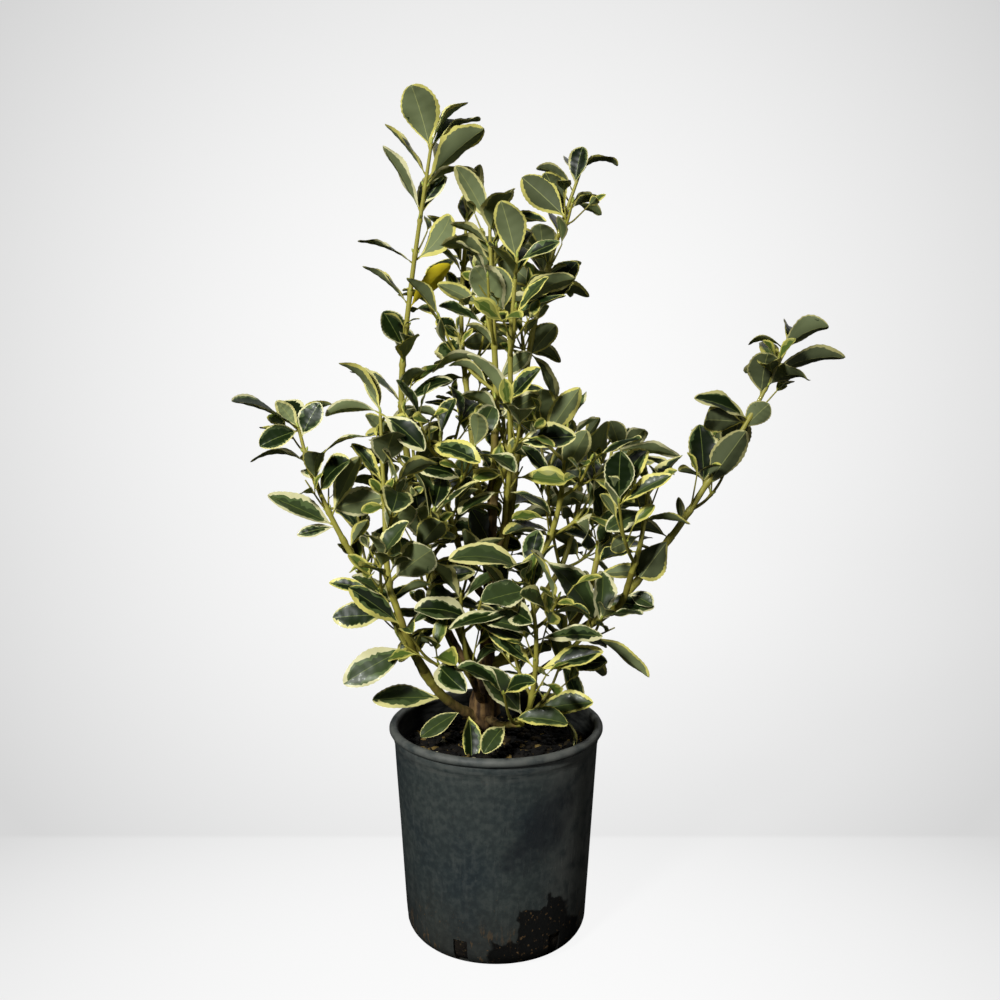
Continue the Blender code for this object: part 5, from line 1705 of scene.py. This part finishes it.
class PotSettings(PropertyGroup):
    colour: add_setting(screen(44, 54, 57), "Plastic", "Colour of the pot's clean plastic")
    worn: add_setting(screen(58, 66, 64), "Worn plastic", "Colour where handling has dulled it")
    deep: add_setting(screen(27, 31, 36), "Dark smear", "Colour of the darker smears")
    # Dust colour, which also paints the fill light on the right of the front and the highlight on
    # the rim.
    dust_and_painted_light: add_setting(screen(112, 114, 108), "Dust", "Colour of the dust on the rim and in scuffs")
    film: add_setting(screen(52, 50, 43), "Film of earth", "Colour of the thin film near the foot")
    earth: add_setting(screen(112, 88, 58), "Earth", "Colour of the dried splashes near the foot")
    # This near-black also paints the shade inside the pot above the soil.
    wet: add_setting(screen(6, 5, 4), "Wet patch", "Colour of the wet patch low on the front")


class SoilSettings(PropertyGroup):
    colour: add_setting(screen(13, 11, 8), "Soil", "Colour of the moist mix")
    brown: add_setting(screen(30, 24, 16), "Drier soil", "Colour of its drier lumps")
    fibre: add_setting(screen(92, 76, 48), "Fibre", "Colour of the fibres in it")
    crumbs: IntProperty(name="Crumbs", description="How many crumbs lie on it", default=1500, min=0)


class BarkSettings(PropertyGroup):
    bark: add_setting(screen(128, 100, 60), "Bark", "Colour of the ridges of old bark")
    bark_dark: add_setting(screen(58, 42, 26), "Fissures", "Colour between the ridges")
    bark_pale: add_setting(screen(140, 116, 74), "Worn bark", "Colour of the palest bark")
    stem: add_setting(screen(172, 166, 70), "Green stem", "Colour of young wood")
    stem_dark: add_setting(screen(122, 114, 42), "Olive stem", "Colour of its darker stretches")
    bud: add_setting(screen(176, 186, 84), "Bud", "Colour of the buds")


class LeafSettings(PropertyGroup):
    dark: add_setting(screen(24, 40, 10), "Centre", "Colour of the middle of a leaf")
    mid: add_setting(screen(80, 97, 54), "Grey green", "Colour between the middle and the edge")
    margin: add_setting(screen(234, 226, 122), "Edge", "Colour of the edge, where it is yellowest")
    pale: add_setting(screen(230, 226, 172), "Pale edge", "Colour of the edge, where it is palest")
    rib: add_setting(screen(104, 118, 58), "Midrib", "Colour of the midrib from above")
    back: add_setting(screen(123, 134, 90), "Underside", "Colour of a leaf from below")
    back_rib: add_setting(screen(156, 162, 100), "Back midrib", "Colour of the midrib from below")
    young: add_setting(screen(82, 102, 38), "Young leaf", "Colour of the middle of a young leaf")
    young_margin: add_setting(screen(212, 206, 104), "Young edge", "Colour of a young leaf's edge")
    yellow: add_setting(screen(248, 226, 50), "Yellow leaf", "Colour of the one leaf without green")


class StageSettings(PropertyGroup):
    floor: add_setting((0.05, 0.05, 0.05), "Floor", "Colour that the lamps fall on")
    pool: add_setting((0.93, 0.93, 0.93), "Floor glow", "The floor's own light at its brightest")
    wall: add_setting((0.97, 0.97, 0.97), "Wall glow", "The wall's own light at its brightest")
    dim: add_setting((0.64, 0.64, 0.64), "Edge glow", "Both their lights at their dimmest")
    lens: FloatProperty(
        name="Lens", description="Focal length in mm", default=40.5, min=10, unit="CAMERA"
    )
    height: FloatProperty(
        name="Camera height", description="Above the floor", default=0.625, unit="LENGTH"
    )
    away: FloatProperty(
        name="Camera distance", description="From the pot", default=1.114, unit="LENGTH"
    )
    down: FloatProperty(
        name="Tilt", description="How far the camera looks down", default=radians(8.71),
        subtype="ANGLE",
    )
    light: FloatProperty(name="Light", description="Strength of the lamps", default=1.0, min=0)


class SHRUB_OT_pot(Operator):
    """Make the nursery pot"""

    bl_idname = "shrub.pot"
    bl_label = "Pot"

    def execute(self, context):
        show("pot_shell", make_pot(), [pot_finish(context.scene.shrub_pot)], "pot_plastic", "pot")
        return {"FINISHED"}


class SHRUB_OT_soil(Operator):
    """Make the soil and the crumbs on it"""

    bl_idname = "shrub.soil"
    bl_label = "Soil"

    def execute(self, context):
        settings = context.scene.shrub_soil
        show("soil_bed", make_soil(), [soil_finish(settings)], "soil", "soil")
        crumbs = [
            Finish(f"crumb_{i}", screen(*colour), 0.9, 0, 0.3) for i, colour in enumerate(CRUMBS)
        ]
        show("soil_crumbs", make_crumbs(settings.crumbs), crumbs, "soil")
        return {"FINISHED"}


class SHRUB_OT_limbs(Operator):
    """Make the trunk and the boughs"""

    bl_idname = "shrub.limbs"
    bl_label = "Trunk and boughs"

    def execute(self, context):
        settings = context.scene.shrub_bark
        old = bark_finish("bark_trunk", settings, OLD_WOOD[1], OLD_WOOD[0])
        young = bark_finish("bark_boughs", settings, *BOUGH_WOOD)
        inner = bark_finish("bark_inner", settings, *INNER_WOOD)
        limbs = grown_plant()[0]
        for name, limb in limbs.items():
            children = [limbs[other].line[0] for other, given in LIMBS.items() if given[0] == name]
            outside = inner if name.removeprefix("bough_") in INNER else young
            finish = old if name == "trunk" else outside
            show(f"bark_{name}", make_limb(name, limb, children), [finish], "bark", name)
        return {"FINISHED"}


class SHRUB_OT_shoots(Operator):
    """Make the stems, the twigs and the buds"""

    bl_idname = "shrub.shoots"
    bl_label = "Shoots"

    def execute(self, context):
        settings = context.scene.shrub_bark
        finishes = [
            Finish(f"stem_{i}", blended(settings.stem, settings.stem_dark, share), 0.5, 0.05)
            for i, share in enumerate(STEM_TONES)
        ]
        finishes.append(Finish("bud", settings.bud, 0.45, 0.1))
        for name, mass in grown_plant()[1].items():
            show(name.replace("leaves", "shoots"), make_shoots(mass), finishes, "bark", name)
        return {"FINISHED"}


class SHRUB_OT_leaves(Operator):
    """Make the leaves, with their colours dealt out leaf by leaf"""

    bl_idname = "shrub.leaves"
    bl_label = "Leaves"

    def execute(self, context):
        finishes, colours = leaf_finishes(context.scene.shrub_leaf, context.scene.shrub_bark)
        masses = grown_plant()[1]
        every = [leaf for mass in masses.values() for leaf in mass.leaves if not leaf.young]
        yellow = min(every, key=lambda leaf: (leaf.point(0.5, 0, 0) - Vector(YELLOW_LEAF)).length)
        bright = dict.fromkeys(colours, colours["yellow"])
        # Painted shade: the shaded masses get the first two, darker colours of each part; the
        # others get the rest.
        darker = {part: numbers[:2] for part, numbers in colours.items()}
        lighter = {part: numbers[1:] or numbers for part, numbers in colours.items()}
        for name, mass in masses.items():
            heap = Heap()
            draw = Random(mass.rule.seed + 100)
            dealt = darker if name in SHADED_MASSES else lighter
            for leaf in mass.leaves:
                add_leaf(heap, leaf, draw, bright if leaf is yellow else dealt)
            show(name.replace("leaves", "foliage"), heap.mesh(name), finishes, "foliage", name)
        return {"FINISHED"}


class SHRUB_OT_stage(Operator):
    """Make the floor, the lamps and the camera"""

    bl_idname = "shrub.stage"
    bl_label = "Stage"

    def execute(self, context):
        scene = context.scene
        settings = scene.shrub_stage
        sweep = arc((STAGE_WIDE - SWEEP, SWEEP), SWEEP, -90, 0, SWEEP_STEPS[0])
        dome = arc((STAGE_WIDE - SWEEP, STAGE_HIGH - SWEEP), SWEEP, 0, 90, SWEEP_STEPS[1])
        room = turned([(0, 0), *sweep, *dome, (0, STAGE_HIGH)], STAGE_STEPS)
        bmesh.ops.reverse_faces(room, faces=room.faces)
        mesh = solid_mesh("backdrop", room)
        mesh.shade_smooth()
        mesh.materials.append(backdrop_finish(settings).material)
        ground = bpy.data.objects.new("backdrop", mesh)
        scene.collection.objects.link(ground)
        ground.visible_diffuse = ground.visible_glossy = False
        for name, size, power, place in LAMPS:
            lamp = bpy.data.lights.new(name, "AREA")
            lamp.size = size
            lamp.energy = power * settings.light
            holder = bpy.data.objects.new(name, lamp)
            holder.location = place
            holder.rotation_euler = (AIM - Vector(place)).to_track_quat("-Z", "Y").to_euler()
            holder.visible_camera = False
            scene.collection.objects.link(holder)
        world = bpy.data.worlds.new("studio")
        world.use_nodes = True
        world.node_tree.nodes["Background"].inputs["Color"].default_value = (1, 1, 1, 1)
        world.node_tree.nodes["Background"].inputs["Strength"].default_value = SKY
        scene.world = world
        scene.view_settings.view_transform = "Standard"
        camera = bpy.data.cameras.new("camera")
        camera.lens = settings.lens
        camera.sensor_width = SENSOR
        eye = bpy.data.objects.new("camera", camera)
        eye.location = (CAMERA_ASIDE, -settings.away, settings.height)
        eye.rotation_euler = (pi / 2 - settings.down, 0, 0)
        scene.collection.objects.link(eye)
        scene.camera = eye
        return {"FINISHED"}


class SHRUB_PT_panel(Panel):
    """The steps that dress the shrub"""

    bl_idname = "SHRUB_PT_panel"
    bl_label = "Potted spindle shrub"
    bl_space_type = "VIEW_3D"
    bl_region_type = "UI"
    bl_category = "Shrub"

    def draw(self, context):
        for operator in OPERATORS:
            self.layout.operator(operator.bl_idname)
        for name, group in GROUPS.items():
            box = self.layout.box()
            for setting in group.__annotations__:
                box.prop(getattr(context.scene, name), setting)


OPERATORS = (
    SHRUB_OT_pot, SHRUB_OT_soil, SHRUB_OT_limbs, SHRUB_OT_shoots, SHRUB_OT_leaves, SHRUB_OT_stage
)
GROUPS = {
    "shrub_pot": PotSettings,
    "shrub_soil": SoilSettings,
    "shrub_bark": BarkSettings,
    "shrub_leaf": LeafSettings,
    "shrub_stage": StageSettings,
}


def register():
    for name, group in GROUPS.items():
        bpy.utils.register_class(group)
        setattr(bpy.types.Scene, name, PointerProperty(type=group))
    for part in (*OPERATORS, SHRUB_PT_panel):
        bpy.utils.register_class(part)


def unregister():
    for part in (SHRUB_PT_panel, *OPERATORS[::-1]):
        bpy.utils.unregister_class(part)
    for name, group in GROUPS.items():
        delattr(bpy.types.Scene, name)
        bpy.utils.unregister_class(group)


def main():
    register()
    bpy.ops.shrub.stage()
    bpy.ops.shrub.pot()
    bpy.ops.shrub.soil()
    bpy.ops.shrub.limbs()
    bpy.ops.shrub.shoots()
    bpy.ops.shrub.leaves()


if __name__ == "__main__":
    main()
